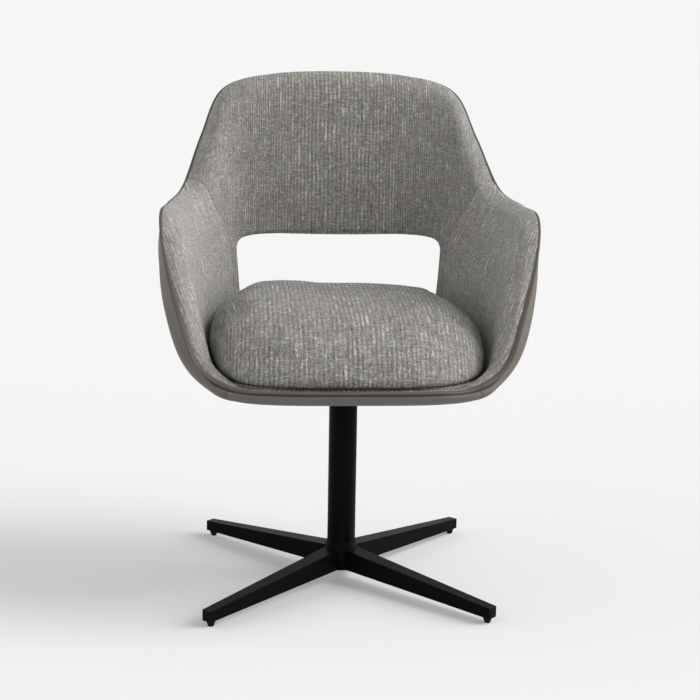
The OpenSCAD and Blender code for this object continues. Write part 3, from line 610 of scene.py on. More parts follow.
@dataclass
class WallPiece:
    """One length of the wall, built as a closed body from section rows and station columns."""

    net: ShellNet
    name: str
    replaces: tuple[str, ...]
    slot: str
    start: float
    end: float
    cloth: Upholstery = field(default_factory=Upholstery)
    seed: float = 1.0

    def columns(self) -> np.ndarray:
        """Stations of the piece's columns, closer together beside its end seams."""
        middle = np.linspace(self.start, self.end, 200)
        along = lengths_along(self.net.rim.at(middle))
        shares = graded(along[-1], self.cloth.step, self.cloth.fine)
        return np.interp(shares * along[-1], along, middle)

    def seam_distance(self, u: np.ndarray, v: np.ndarray) -> np.ndarray:
        """Rough distance from each place to the nearer end seam, in metres."""
        step = np.linalg.norm(self.net.inner(u + NUDGE, v) - self.net.inner(u - NUDGE, v), axis=-1)
        return np.minimum(np.abs(u - self.start), np.abs(self.end - u)) * (step / (2 * NUDGE))

    def finish_piece(self, made: bpy.types.Object) -> bpy.types.Object:
        """Ties the piece to its body and hides the node it replaces. Args: made: the piece. Returns: the same
        piece.
        """
        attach(made, SEAT_BODY)
        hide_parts(*self.replaces)
        return made


class LongPad(WallPiece):
    """A pad without an opening: an arm's or the front's inner side with its padded edge."""

    INNER_ROWS = 64
    FRONT_LEAN = 0.5
    REAR_LEAN = 0.06
    ROW_POWER = 0.94
    THREAD_STRETCH = 1.08

    def build(self) -> bpy.types.Object:
        """Builds the pad. Returns: the finished piece."""
        net = self.net
        u = self.columns()
        one = np.ones_like(u)
        self.rows: list[np.ndarray] = []
        self.weave: list[np.ndarray] = []
        self._measure_length()
        grid_v = np.linspace(0, 1, self.INNER_ROWS) ** self.ROW_POWER
        edge = net.lean(u, one)
        top = net.below_rim_v(edge, net.welt_depth)
        across = net.edge_width(edge)
        for share in grid_v:
            v = share * top
            e = net.lean(u, v)
            self._add(net.at_depth(e, v, net.pad_depth * one), u, e, (1 - v) * net.face_length(e), one)
        start = net.pad_start(edge)
        for points in (net.at_depth(edge, top, start), net.strip_top(edge, start, net.TUCK_RISE)):
            self._add(points, u, edge, start - across, one)
        for share in net.edge_shares():
            self._soft_row(u, edge, one, mix(start - across, 0, share))
        for share in grid_v[::-1]:
            e = net.lean(u, share * one)
            self._soft_row(u, e, share * one, (1 - share) * net.face_length(e))
        ends = self._ends(len(self.rows), len(u))
        return self.finish_piece(grid_mesh(self.name, self.rows, (True, False), ends, self.weave))

    def _soft_row(self, u: np.ndarray, e: np.ndarray, v: np.ndarray, below: np.ndarray) -> None:
        """Adds one row of the visible surface.

        Args:
            u: stations before they lean.
            e: stations.
            v: shares of the height.
            below: distances down from the inner edge line, in metres.
        """
        net, cloth = self.net, self.cloth
        points, inward = net.pad_face(e, below)
        seam = self.seam_distance(u, v)
        swell = wobble(points, cloth.ripple_size, self.seed)
        depth = cloth.lie(seam, below + net.edge_width(e) - net.pad_start(e), swell)
        self._add(points + inward * depth[:, None], u, e, below, seam)

    def _measure_length(self) -> None:
        """Measures the inner face at half height and sets how the threads lean along it."""
        self.stations = np.linspace(self.start - 1, self.end + 1, 400)
        self.lengths = lengths_along(self.net.inner(self.stations, np.full(len(self.stations), 0.5)))
        near, far = sorted(self._along(np.array([self.start, self.end])))
        self.lean_growth = (self.REAR_LEAN - self.FRONT_LEAN) / (far - near)
        self.lean_start = self.FRONT_LEAN - self.lean_growth * near
        if self.start < 0:
            self.lean_growth = self.lean_start = 0.0

    def _along(self, u: np.ndarray) -> np.ndarray:
        """Length along the inner face, counted from the front. Args: u: stations. Returns: metres."""
        along = np.interp(u, self.stations, self.lengths)
        return self.lengths[-1] - along if self.start > self.net.last else along

    def _flat(self, e: np.ndarray) -> np.ndarray:
        """The inner edge line laid flat. Args: e: stations. Returns: length from the front and height."""
        return np.stack([self._along(e), self.net.face_length(e)], -1)

    def _add(
        self, points: np.ndarray, u: np.ndarray, e: np.ndarray, below: np.ndarray, seam: np.ndarray
    ) -> None:
        """Adds one row, with threads that lean as the arm's front edge and rear seam do.

        Args:
            points: the row's points.
            u: stations before they lean.
            e: stations.
            below: distances down from the inner edge line, in metres.
            seam: distances from a seam, in metres.
        """
        flat = self._flat(e)
        ahead = self._flat(e + NUDGE) - self._flat(e - NUDGE)
        if self.start > self.net.last:
            ahead = -ahead
        ahead = unit(ahead)
        outward = np.stack([-ahead[:, 1], ahead[:, 0]], -1)
        over = np.clip(-below, 0, None)[:, None]
        down = np.clip(below, 0, None)
        place = flat + outward * over - np.stack([0 * down, down], -1)
        length = place[:, 0] + self._along(u) - self._along(e)
        height = place[:, 1]
        across = (length - self.lean_start * height) / (1 + self.lean_growth * height)
        self.rows.append(points)
        self.weave.append(np.stack([across, self.THREAD_STRETCH * height, seam], -1))

    def _ends(self, rows: int, columns: int) -> list[tuple[int, ...]]:
        """Faces of both ends. Args: rows, columns: size of the grid. Returns: the faces."""
        rungs = self.INNER_ROWS - 1
        faces = []
        for column in (0, columns - 1):
            faces += ladder_faces(rows, columns, column, rungs)
            faces.append(tuple(i * columns + column for i in range(rungs, rows - rungs)))
        return faces


@dataclass
class OpeningRays:
    """Rays from the back opening's edge out to the panel's four sides, as pairs of places."""

    net: ShellNet
    step: float = 4.5 * MM
    fine: float = 0.5 * MM
    corner: float = math.pi / 4

    # Rough lengths of the panel's sides and of a ray, in metres.
    TALL = 0.40
    WIDE = 0.55
    RAY = 0.28
    RAY_STEP = 7 * MM
    COARSER = 1.6

    def __post_init__(self) -> None:
        """Works out each ray's angle at the opening, its end and whether it ends at the edge."""
        net = self.net
        first, last = net.back_station, 2 * net.last - net.back_station
        heights = graded(self.TALL, self.step, self.fine)
        widths = graded(self.WIDE, self.step, self.fine)
        lows = graded(self.TALL, self.step * self.COARSER, self.fine)
        corner, pi = self.corner, math.pi
        sides = [
            (mix(corner, pi - corner, widths), mix(first, last, widths), np.ones_like(widths), True),
            (mix(pi - corner, pi + corner, heights), np.full_like(heights, last), 1 - heights, False),
            (mix(pi + corner, 2 * pi - corner, lows), mix(last, first, lows), np.zeros_like(lows), False),
            (mix(-corner, corner, heights), np.full_like(heights, first), heights, False),
        ]
        angle, end_u, end_v, at_edge = zip(*sides)
        self.angle = np.concatenate(angle)
        self.end_u = np.concatenate(end_u)
        self.end_v = np.concatenate(end_v)
        self.over = np.concatenate([np.full(len(a), edge) for a, edge in zip(angle, at_edge)])

    def edge_place(self, offset: float) -> tuple[np.ndarray, np.ndarray]:
        """Places on the opening's edge moved outward.

        Args:
            offset: distance outward from the edge, in metres.

        Returns:
            Arrays of u and v, one for each ray.
        """
        net = self.net
        power = 2 / net.opening_power
        c, s = np.cos(self.angle), np.sin(self.angle)
        k = np.sign(c) * np.abs(c) ** power
        m = np.sign(s) * np.abs(s) ** power
        per_metre = net.open_span / (net.opening_w / 2)
        u = net.last - k * (net.open_span + offset * per_metre)
        return u, net.v_of_z(u, net.open_mid_z + m * (net.open_half_h + offset))

    def place(self, share: float, offset: float) -> tuple[np.ndarray, np.ndarray]:
        """Places along the rays.

        Args:
            share: 0 at the start of each ray and 1 at its end.
            offset: distance of the start outward from the opening's edge, in metres.

        Returns:
            Arrays of u and v, one for each ray.
        """
        u, v = self.edge_place(offset)
        return mix(u, self.end_u, share), mix(v, self.end_v, share)


class BackPad(WallPiece):
    """The backrest's inner side: cloth over foam, wrapped over the edge and round the opening."""

    FOLD_RADIUS = 9 * MM
    SLEEVE = 1.6 * MM
    SLEEVE_GAP = 0.3 * MM
    BACK_ROWS = 12
    FOLD_ROWS = 8
    FIRST_STEP = 1.2 * MM
    SLEEVE_ROWS = (0.0, 0.0, 0.25, 0.5, 0.8)
    FAR_FROM_SEAM = 0.02
    BOW = 0.9
    BOW_REACH = 0.06
    THREAD_STRETCH = 1.01
    WIDER_RIPPLE = 1.3

    def build(self) -> bpy.types.Object:
        """Builds the pad. Returns: the finished piece."""
        net = self.net
        rays = OpeningRays(net)
        self.rows: list[np.ndarray] = []
        self.weave: list[np.ndarray] = []
        self._sleeve(rays)
        for share in graded(rays.RAY, rays.RAY_STEP, self.FIRST_STEP):
            u, v = rays.place(share, self.FOLD_RADIUS)
            self._face_row(u, v)
        self._over_edge(rays)
        for share in np.linspace(1, 0, self.BACK_ROWS):
            u, v = rays.place(share, 0.0)
            top = net.below_rim_v(net.lean(u, np.ones_like(u)), net.welt_depth)
            v = v * np.where(rays.over, mix(1.0, top, share), 1.0)
            e = net.lean(u, np.clip(v, 0, 1))
            self._add(net.at_depth(e, v, np.full_like(u, net.pad_depth)), u, v, np.ones_like(u))
        return self.finish_piece(grid_mesh(self.name, self.rows, (True, True), weave=self.weave))

    def _add(
        self, points: np.ndarray, u: np.ndarray, v: np.ndarray, distance: np.ndarray,
        beyond: np.ndarray | float = 0.0,
    ) -> None:
        """Adds one row.

        Args:
            points: the row's points.
            u: stations, for the weave.
            v: shares of the height, for the weave.
            distance: distance from a seam.
            beyond: length of cloth past the place (u, v).
        """
        self.rows.append(points)
        x = points[:, 0]
        across = np.sign(x) * (np.abs(x) + self.BOW * np.abs(x) ** 3 / self.BOW_REACH)
        height = self.net.inner(u, v)[:, 2] * self.THREAD_STRETCH + beyond
        self.weave.append(np.stack([across, height, distance], -1))

    def _inward(self, u: np.ndarray, v: np.ndarray) -> np.ndarray:
        """Direction from the inner face into the wall."""
        return unit(self.net.outer(u, v) - self.net.inner(u, v))

    def _sleeve(self, rays: OpeningRays) -> None:
        """Adds the rows that line the opening and the fold on to the face. Args: rays: the rays."""
        net = self.net
        out = net.cover_t + net.layer_gap
        for row, from_cover in enumerate(self.SLEEVE_ROWS):
            u, v = rays.edge_place(-self.SLEEVE if row else -self.SLEEVE_GAP)
            e = net.lean(u, v)
            thick = np.linalg.norm(net.outer(e, v) - net.inner(e, v), axis=-1)
            d = mix(np.full_like(u, out), thick - self.FOLD_RADIUS, from_cover)
            self._add(net.at_depth(e, v, d), u, v, np.full_like(u, self.FAR_FROM_SEAM))
        for turn in np.linspace(0, 1, self.FOLD_ROWS, endpoint=False):
            angle = turn * math.pi / 2
            u, v = rays.edge_place(mix(-self.SLEEVE, self.FOLD_RADIUS, 1 - math.cos(angle)))
            e = net.lean(u, v)
            below = self.FOLD_RADIUS * (1 - math.sin(angle))
            points = net.inner(e, v) + self._inward(e, v) * below
            self._add(points, u, v, np.full_like(u, self.FAR_FROM_SEAM))

    def _soft(self, u: np.ndarray, v: np.ndarray, e: np.ndarray, below: np.ndarray) -> np.ndarray:
        """Points of the visible surface.

        Args:
            u: stations before they lean.
            v: shares of the height.
            e: stations.
            below: distances down from the inner edge line, in metres.

        Returns:
            The points, with the seams drawn in.
        """
        net, cloth = self.net, self.cloth
        points, inward = net.pad_face(e, below)
        swell = wobble(points, cloth.ripple_size * self.WIDER_RIPPLE, self.seed)
        strip = below + net.edge_width(e) - net.pad_start(e)
        return points + inward * cloth.lie(self.seam_distance(u, v), strip, swell)[:, None]

    def _face_row(self, u: np.ndarray, v: np.ndarray) -> None:
        """Adds one row of the inner face. Args: u, v: places."""
        e = self.net.lean(u, np.clip(v, 0, 1))
        points = self._soft(u, v, e, (1 - v) * self.net.face_length(e))
        self._add(points, u, v, self.seam_distance(u, v))

    def _over_edge(self, rays: OpeningRays) -> None:
        """Adds the rows that go over the padded edge, or straight back at a seam. Args: rays: the rays."""
        net = self.net
        u, v = rays.place(1.0, 0.0)
        one = np.ones_like(u)
        e_top, e = net.lean(u, one), net.lean(u, v)
        edge = self.seam_distance(u, v)
        start = net.pad_start(e_top)
        reach = net.edge_width(e_top) - start
        inner_side = self._soft(u, v, e, (1 - v) * net.face_length(e))
        top = np.where(rays.over, net.below_rim_v(e_top, net.welt_depth), v)
        outer_side = net.at_depth(e, top, net.pad_depth * one)
        beyond = np.zeros_like(u)
        previous = inner_side
        for k in net.edge_shares()[::-1][1:]:
            over = self._soft(u, one, e_top, -reach * (1 - k))
            points = np.where(rays.over[:, None], over, mix(inner_side, outer_side, 1 - k))
            beyond = beyond + np.linalg.norm(points - previous, axis=-1) * rays.over
            previous = points
            self._add(points, u, v, edge, beyond)
        tucked = (
            net.strip_top(e_top, start, net.TUCK_RISE),
            net.at_depth(e_top, net.below_rim_v(e_top, net.welt_depth), start),
        )
        for points in tucked:
            self._add(np.where(rays.over[:, None], points, outer_side), u, v, edge, beyond)


@dataclass
class CoverPanel(WallPiece):
    """A length of the leatherette outer side, with its seams drawn in."""

    edge_radius: float = 1.0 * MM
    draw: float = 0.5 * MM
    draw_reach: float = 7 * MM

    TALL = 0.33
    ROW_STEP = 5 * MM
    FIRST_STEP = 0.4 * MM
    MOST_SINK = 0.8

    def sink(self, distance: np.ndarray) -> np.ndarray:
        """Depth below the plain face, by distance from a seam or free edge."""
        x = np.clip(1 - distance / self.edge_radius, 0, 1)
        return self.edge_radius * (1 - np.sqrt(1 - x**2)) + self.draw * np.exp(-distance / self.draw_reach)

    def build(self) -> bpy.types.Object:
        """Builds the panel. Returns: the finished piece."""
        net = self.net
        u = self.columns()
        top = net.below_rim_v(net.lean(u, np.ones_like(u)), net.welt_depth)
        shares = graded(self.TALL, self.ROW_STEP, self.FIRST_STEP)
        along = lengths_along(net.belt.at(u))
        rows, weave = [], []
        for face_depth, order in ((0.0, shares), (net.cover_t, shares[::-1])):
            for share in order:
                v = share * top
                e = net.lean(u, v)
                seam = self.seam_distance(u, v)
                height = np.linalg.norm(net.outer(e, top) - net.outer(e, v), axis=-1)
                distance = np.minimum(seam, height)
                rows.append(net.at_depth(e, v, self._depth(distance, face_depth)))
                weave.append(np.stack([along, self.TALL * share * np.ones_like(u), distance], -1))
        n, m = len(rows), len(u)
        ends = [face for column in (0, m - 1) for face in ladder_faces(n, m, column, n // 2 - 1)]
        return self.finish_piece(grid_mesh(self.name, rows, (True, False), ends, weave))

    def _depth(self, distance: np.ndarray, face_depth: float) -> np.ndarray:
        """Depth of a row's points below the plain outer face.

        Args:
            distance: distance from a seam or free edge, in metres.
            face_depth: 0 for the visible face, else the depth of the hidden one.

        Returns:
            Depths in metres.
        """
        if face_depth:
            return np.full_like(distance, face_depth)
        return np.minimum(self.sink(distance), self.net.cover_t * self.MOST_SINK)


class BackCover(CoverPanel):
    """The leatherette behind the backrest, with its edge turned in round the opening."""

    HOLE_INSET = 0.8 * MM

    def build(self) -> bpy.types.Object:
        """Builds the cover. Returns: the finished piece."""
        net = self.net
        rays = OpeningRays(net)
        rows, weave = [], []
        shares = graded(rays.RAY, rays.RAY_STEP, self.FIRST_STEP)
        for face_depth, order in ((0.0, shares), (net.cover_t, shares[::-1])):
            for share in order:
                u, v = rays.place(share, -self.HOLE_INSET)
                one = np.ones_like(u)
                top = net.below_rim_v(net.lean(u, one), net.welt_depth)
                v = v * np.where(rays.over, mix(1.0, top, share), 1.0)
                e = net.lean(u, np.clip(v, 0, 1))
                seam = self.seam_distance(u, v)
                hole_u, hole_v = rays.edge_place(-self.HOLE_INSET)
                plain = net.outer(e, v)
                hole = np.linalg.norm(plain - net.outer(net.lean(hole_u, hole_v), hole_v), axis=-1)
                free = np.linalg.norm(plain - net.outer(e, top), axis=-1)
                distance = np.minimum(np.minimum(seam, hole), free)
                rows.append(net.at_depth(e, v, self._depth(distance, face_depth)))
                weave.append(np.stack([plain[:, 0], plain[:, 2], distance], -1))
        return self.finish_piece(grid_mesh(self.name, rows, (True, True), weave=weave))


@dataclass
class EdgeStrip:
    """The flat leatherette strip sewn all round the edge, with its joins near the front corners."""

    net: ShellNet
    step: float = 4 * MM
    join_station: float = 2.17
    join_half: float = 1.2 * MM
    join_dip: float = 0.7 * MM

    # Share of the strip's width and rise above its edge, across the top.
    TOP = ((0.06, 1.5), (0.25, 2.0), (0.5, 2.3), (0.75, 2.35), (0.89, 2.2), (0.97, 1.9), (1, 1.3))
    # Distance of each profile row from the strip's edge, in millimetres, which sets the painted shade at its
    # seams.
    FROM_EDGE = (0, 0.1, 0.5, 1, 2, 4, 8, 4, 3, 3, 3, 3)

    def build(self) -> bpy.types.Object:
        """Builds the strip. Returns: the finished piece."""
        net = self.net
        u = self._stations()
        one = np.ones_like(u)
        e = net.lean(u, one)
        top = net.below_rim_v(e, net.welt_depth)
        w = net.strip_width(e)
        inner_low = net.at_depth(e, top, w)
        outer_low = net.at_depth(e, mix(top, 1, 0.1), 0 * one)
        normal = net.rim_normal(e)
        profile = [
            outer_low,
            mix(net.at_depth(e, top, 0 * one), net.strip_top(e, -0.7 * net.welt_proud, 0), 0.6),
            net.strip_top(e, -0.55 * MM, 0.2),
            net.strip_top(e, -0.2 * MM, 0.95),
            *(net.strip_top(e, share * w, rise) for share, rise in self.TOP),
            mix(inner_low, net.strip_top(e, w, 1.2), 0.1),
        ]
        near = self._join_distance(u)
        dip = self.join_dip * np.sqrt(np.clip(1 - (near / self.join_half) ** 2, 0, 1))
        dipped = [p - normal * dip[:, None] for p in profile[1:-1]]
        rows = [profile[0], *dipped, profile[-1]]
        along = lengths_along(net.rim.at(e))
        # Along the back's side edges the distances shrink so the whole strip darkens: painted shade.
        pale = 1 - 0.9 * net.side_edge(e)
        weave = [
            np.stack([along, k * w / len(rows), np.minimum(edge * MM * pale, near)], -1)
            for k, edge in enumerate(self.FROM_EDGE)
        ]
        made = grid_mesh("edge_strip", rows, (True, True), weave=weave)
        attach(made, SEAT_BODY)
        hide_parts("edge_welt")
        return made

    def _stations(self) -> np.ndarray:
        """Stations round the whole edge, closer together at the joins. Returns: stations."""
        fine = np.linspace(0, 2 * self.net.last, 1600, endpoint=False)
        along = lengths_along(self.net.rim.at(fine))
        count = int(along[-1] / self.step)
        even = np.interp(np.linspace(0, along[-1], count, endpoint=False), along, fine)
        close = np.linspace(-0.06, 0.06, 17)
        joins = np.concatenate([self.join_station + close, 2 * self.net.last - self.join_station + close])
        return np.unique(np.concatenate([even, joins]))

    def _join_distance(self, u: np.ndarray) -> np.ndarray:
        """Rough distance to the nearer join. Args: u: stations. Returns: metres."""
        before, after = (self.net.rim.at(self.join_station + step) for step in (-NUDGE, NUDGE))
        per_station = np.linalg.norm(after - before) / (2 * NUDGE)
        return np.abs(self.net.fold(u) - self.join_station) * per_station


@dataclass
class SeatCushion:
    """The loose seat cushion: foam in a cloth cover, pressed into the space between the arms."""

    net: ShellNet
    side_gap: float = 2 * MM
    setback: float = 10 * MM
    back_gap: float = 8 * MM
    crown_z: float = 508 * MM
    swell_room: float = 7 * MM
    front_fall: float = 32 * MM
    roundness: float = 0.4
    shrink: float = 0.99
    voxel: float = 6 * MM
    pressure: float = 4.0
    frames: int = 20
    most_swell: float = 9 * MM
    bottom_band: float = 9 * MM
    wall_gap: float = 1.5 * MM
    most_spread: float = 1.04
    tilt: float = 6.5 * MM
    left_lift: float = 1.5 * MM
    left_shift: float = 3 * MM

    # Share of the outline and share of the height, from the underside up to the crown.
    PROFILE = (
        (0.93, 0.0), (0.955, 0.012), (0.974, 0.04), (0.99, 0.1), (1.0, 0.2), (1.0, 0.33), (0.998, 0.48),
        (0.992, 0.62), (0.978, 0.74), (0.952, 0.84), (0.91, 0.91), (0.84, 0.955), (0.73, 0.983),
        (0.5, 0.996), (0.27, 1.0), (0.12, 1.0),
    )
    RING_STEP = 0.125
    # Angles from the front, in radians, over which the outline changes, and how round it gets.
    SPREAD_ANGLE = 0.6
    REAR_ANGLE = 1.1
    REAR_ROUNDNESS = 0.2
    LOW_ROUNDNESS = 0.35
    LOW_SHARE = 0.95
    # Both ends of each crease (x and z, in metres), its depth and its width.
    CREASES = (
        ((-0.172, 0.430), (-0.105, 0.447), 1.5 * MM, 4.5 * MM),
        ((-0.165, 0.441), (-0.120, 0.452), 0.7 * MM, 4 * MM),
        ((-0.145, 0.462), (-0.030, 0.452), 0.7 * MM, 5 * MM),
        ((-0.095, 0.428), (-0.045, 0.428), 0.6 * MM, 4.5 * MM),
        ((0.120, 0.447), (0.168, 0.432), 0.8 * MM, 5 * MM),
    )

    def __post_init__(self) -> None:
        """Works the outline out of the shell's floor."""
        net = self.net
        self.y0 = -net.front_reach + self.setback
        self.y1 = float(net.floor.at(np.array(12.0))[1]) - self.back_gap
        half = net.floor_hw - self.side_gap
        y = partial(mix, self.y0, self.y1)
        self.base_z = net.deck_z + net.layer_gap
        self.outline = StationLine([
            (0, y(0)), (half * 0.45, y(0.016)), (half * 0.73, y(0.066)), (half * 0.88, y(0.13)),
            (half * 0.972, y(0.222)), (half, y(0.377)), (half, y(0.492)), (half * 0.99, y(0.63)),
            (half * 0.95, y(0.785)), (half * 0.865, y(0.893)), (half * 0.68, y(0.965)),
            (half * 0.4, y(0.996)), (0, y(1)),
        ])
        self.centre = np.array([0, y(0.5)])
        self.fall_y = y(0.446)
        self.levels = np.linspace(self.base_z, self.crown_z, 16)
        self.bearings = np.linspace(0, 2 * math.pi, 361)
        self.walls = np.array([self._wall(z) for z in self.levels])

    def _wall(self, z: float) -> np.ndarray:
        """How far the shell's inner face lies from the cushion's middle.

        Args:
            z: height, in metres.

        Returns:
            One distance for each bearing, and a long one where there is no wall.
        """
        net = self.net
        u = np.arange(net.front_station + 0.2, 2 * net.last - net.front_station - 0.2, 0.04)
        v = np.clip((z - net.deck_z) / (net.inner_rim(u)[:, 2] - net.deck_z), 0, 1)
        offset = net.inner(u, v)[:, :2] - self.centre
        return np.interp(self.bearings, self._bearing(offset), np.hypot(*offset.T), left=1.0, right=1.0)

    @staticmethod
    def _bearing(offset: np.ndarray) -> np.ndarray:
        """Angle from the front, round the right side. Args: offset: shape (n, 2). Returns: radians."""
        return np.mod(np.arctan2(offset[:, 0], -offset[:, 1]), 2 * math.pi)

    def _room(self, points: np.ndarray) -> np.ndarray:
        """Distance from the cushion's middle to the wall at each point. Args: points. Returns: metres."""
        level = np.interp(points[:, 2], self.levels, np.arange(len(self.levels)))
        low = np.minimum(level.astype(int), len(self.levels) - 2)
        bearing = self._bearing(points[:, :2] - self.centre)
        turn = bearing / self.bearings[1]
        first = np.minimum(turn.astype(int), len(self.bearings) - 2)
        share = turn - first
        lower = mix(self.walls[low, first], self.walls[low, first + 1], share)
        upper = mix(self.walls[low + 1, first], self.walls[low + 1, first + 1], share)
        return mix(lower, upper, level - low)

    def _press(self, points: np.ndarray, gap: float) -> np.ndarray:
        """Points drawn in until they clear the wall. Args: points; gap: clearance. Returns: the points."""
        offset = points[:, :2] - self.centre
        reach = np.maximum(np.hypot(*offset.T), 1e-6)
        share = np.minimum(1, (self._room(points) - gap) / reach)
        pressed = points.copy()
        pressed[:, :2] = self.centre + offset * share[:, None]
        return pressed

    def _fall(self, x: np.ndarray, y: np.ndarray) -> np.ndarray:
        """How far the top lies below its crown: towards the front and the right side.

        Args:
            x: places across the cushion.
            y: places from front to back.

        Returns:
            Distances in metres, below zero where the top lies higher.
        """
        ahead = np.clip((self.fall_y - y) / (self.fall_y - self.y0), 0, None)
        left = self.left_lift * smoothstep(-x / 0.17)
        return self.front_fall * ahead ** 2 + self.tilt * x / self.net.floor_hw - left

    def _start_mesh(self) -> bpy.types.Object:
        """Builds the cushion before it swells. Returns: a closed object."""
        u = np.arange(0, 2 * self.net.last, self.RING_STEP)
        ring = self.outline.at(u) - np.array([self.left_shift, 0])
        rows = []
        bearing = self._bearing(ring - self.centre)
        from_front = np.minimum(bearing, 2 * math.pi - bearing)
        spread = mix(1, self.most_spread, smoothstep(from_front / self.SPREAD_ANGLE))
        offset = (ring - self.centre) * spread[:, None]
        half_length = (self.y1 - self.y0) / 2
        oval = 1 / np.hypot(np.sin(bearing) / offset[:, 0].max(), np.cos(bearing) / half_length)
        reach = np.hypot(*offset.T)
        behind = smoothstep((from_front - self.REAR_ANGLE) / self.REAR_ANGLE)
        ahead = mix(1, self.REAR_ROUNDNESS, behind)
        height = self.crown_z - self.swell_room - self.base_z
        for plan, share in self.PROFILE:
            z = self.base_z + height * share
            rounder = mix(self.LOW_ROUNDNESS, 1, smoothstep(share / self.LOW_SHARE))
            rounder = self.roundness * ahead * rounder
            scale = mix(1, np.minimum(1, oval / reach), rounder)
            wide = np.column_stack([self.centre + offset * scale[:, None], np.full(len(u), z)])
            xy = self._press(wide, 2 * self.wall_gap)[:, :2]
            xy = self.centre + (xy - self.centre) * plan * self.shrink
            rows.append(np.column_stack([xy, z - share * self._fall(xy[:, 0], xy[:, 1])]))
        return grid_mesh("seat_cushion_soft", rows, (False, True), cap_faces(len(rows), len(u)))

    def _remesh(self, made: bpy.types.Object) -> None:
        """Replaces the mesh by an even one. Args: made: the cushion."""
        modifier = made.modifiers.new("even", "REMESH")
        modifier.mode = "VOXEL"
        modifier.voxel_size = self.voxel
        self._apply(made)

    @staticmethod
    def _apply(made: bpy.types.Object) -> None:
        """Applies every modifier at the present frame. Args: made: the object."""
        graph = bpy.context.evaluated_depsgraph_get()
        mesh = bpy.data.meshes.new_from_object(made.evaluated_get(graph))
        made.modifiers.clear()
        made.data = mesh

    def _swell(self, made: bpy.types.Object) -> None:
        """Lets the cloth swell under pressure, with its underside held. Args: made: the cushion."""
        rest = coordinates(made)
        held = made.vertex_groups.new(name="held")
        low = np.flatnonzero(rest[:, 2] < self.base_z + self.bottom_band)
        held.add(low.tolist(), 1.0, "REPLACE")
        cloth = made.modifiers.new("swell", "CLOTH")
        settings = cloth.settings
        settings.quality = 6
        settings.mass = 0.3
        settings.tension_stiffness = 18
        settings.compression_stiffness = 18
        settings.shear_stiffness = 6
        settings.bending_stiffness = 0.6
        settings.use_pressure = True
        settings.uniform_pressure_force = self.pressure
        settings.effector_weights.gravity = 0
        settings.vertex_group_mass = "held"
        cloth.collision_settings.use_collision = False
        cloth.point_cache.frame_start = 1
        cloth.point_cache.frame_end = self.frames
        scene = bpy.context.scene
        for step in range(1, self.frames + 1):
            scene.frame_set(step)
        graph = bpy.context.evaluated_depsgraph_get()
        moved = coordinates(made.evaluated_get(graph)) - rest
        scene.frame_set(1)
        made.modifiers.clear()
        made.vertex_groups.clear()
        far = np.linalg.norm(moved, axis=1, keepdims=True)
        moved *= np.minimum(1, self.most_swell / np.maximum(far, 1e-9))
        set_coordinates(made, rest + moved)

    def _keep_in_space(self, made: bpy.types.Object) -> None:
        """Keeps the cushion between the arms and at its crown height. Args: made: the cushion."""
        points = coordinates(made)
        top = points[:, 2].max()
        share = np.clip((points[:, 2] - self.base_z) / (top - self.base_z), 0, 1)
        points[:, 2] += (self.crown_z - top) * smoothstep(share)
        points[:, 2] = np.maximum(points[:, 2], self.base_z)
        set_coordinates(made, self._press(points, self.wall_gap))

    def _crease(self, made: bpy.types.Object) -> None:
        """Presses the shallow creases of a sat-in cover into the front. Args: made: the cushion."""
        points = coordinates(made)
        normals = vertex_normals(made)
        front = smoothstep((-0.10 - points[:, 1]) / 0.06)
        for (x0, z0), (x1, z1), deep, wide in self.CREASES:
            along = np.array([x1 - x0, z1 - z0])
            length = np.linalg.norm(along)
            along /= length
            offset = points[:, [0, 2]] - np.array([x0, z0])
            t = offset @ along
            bow = 0.006 * np.sin(np.clip(t / length, 0, 1) * math.pi)
            d = offset @ np.array([-along[1], along[0]]) - bow
            fade = smoothstep(t / (0.3 * length)) * smoothstep((length - t) / (0.4 * length))
            press = deep * np.exp(-((d / wide) ** 2)) * fade * front
            lift = 0.35 * deep * np.exp(-(((d - 2.2 * wide) / (1.5 * wide)) ** 2)) * fade * front
            points -= normals * (press - lift)[:, None]
        set_coordinates(made, points)

    def _weave(self, made: bpy.types.Object) -> None:
        """Lays the threads from front to back over the top and down the sides. Args: made: the cushion."""
        points = coordinates(made)
        normals = vertex_normals(made)
        x, y, z = points.T
        drop = np.clip(self.crown_z - self._fall(x, y) - z - self.swell_room, 0, None)
        front = smoothstep((self.centre[1] - y) / 0.12)
        back = smoothstep((y - self.centre[1]) / 0.12)
        beside = smoothstep((y - self.y0 - 0.03) / 0.14) * smoothstep(np.abs(normals[:, 0]) / 0.6)
        across = x + np.sign(x) * drop * beside * 0.9
        along = y + drop * (back - front) * (1 - beside)
        # Height above the underside: the cloth's seam darkening uses it to paint shade along the cushion's
        # foot, with some soiling.
        distance = np.clip(z - self.base_z, 0.001, None)
        weave = np.stack([across, along, distance], -1).astype(np.float32)
        mesh = made.data
        layer = mesh.attributes.get(WEAVE) or mesh.attributes.new(WEAVE, "FLOAT_VECTOR", "POINT")
        layer.data.foreach_set("vector", weave.ravel())

    def build(self) -> bpy.types.Object:
        """Builds the cushion. Returns: the finished piece."""
        made = self._start_mesh()
        self._remesh(made)
        self._swell(made)
        relax(made, times=2, factor=0.5)
        self._keep_in_space(made)
        relax(made, times=3, factor=0.4)
        made.modifiers.new("fine", "SUBSURF").levels = 1
        self._apply(made)
        self._crease(made)
        self._weave(made)
        made.data.shade_smooth()
        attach(made, SEAT_BODY)
        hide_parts("seat_cushion")
        return made


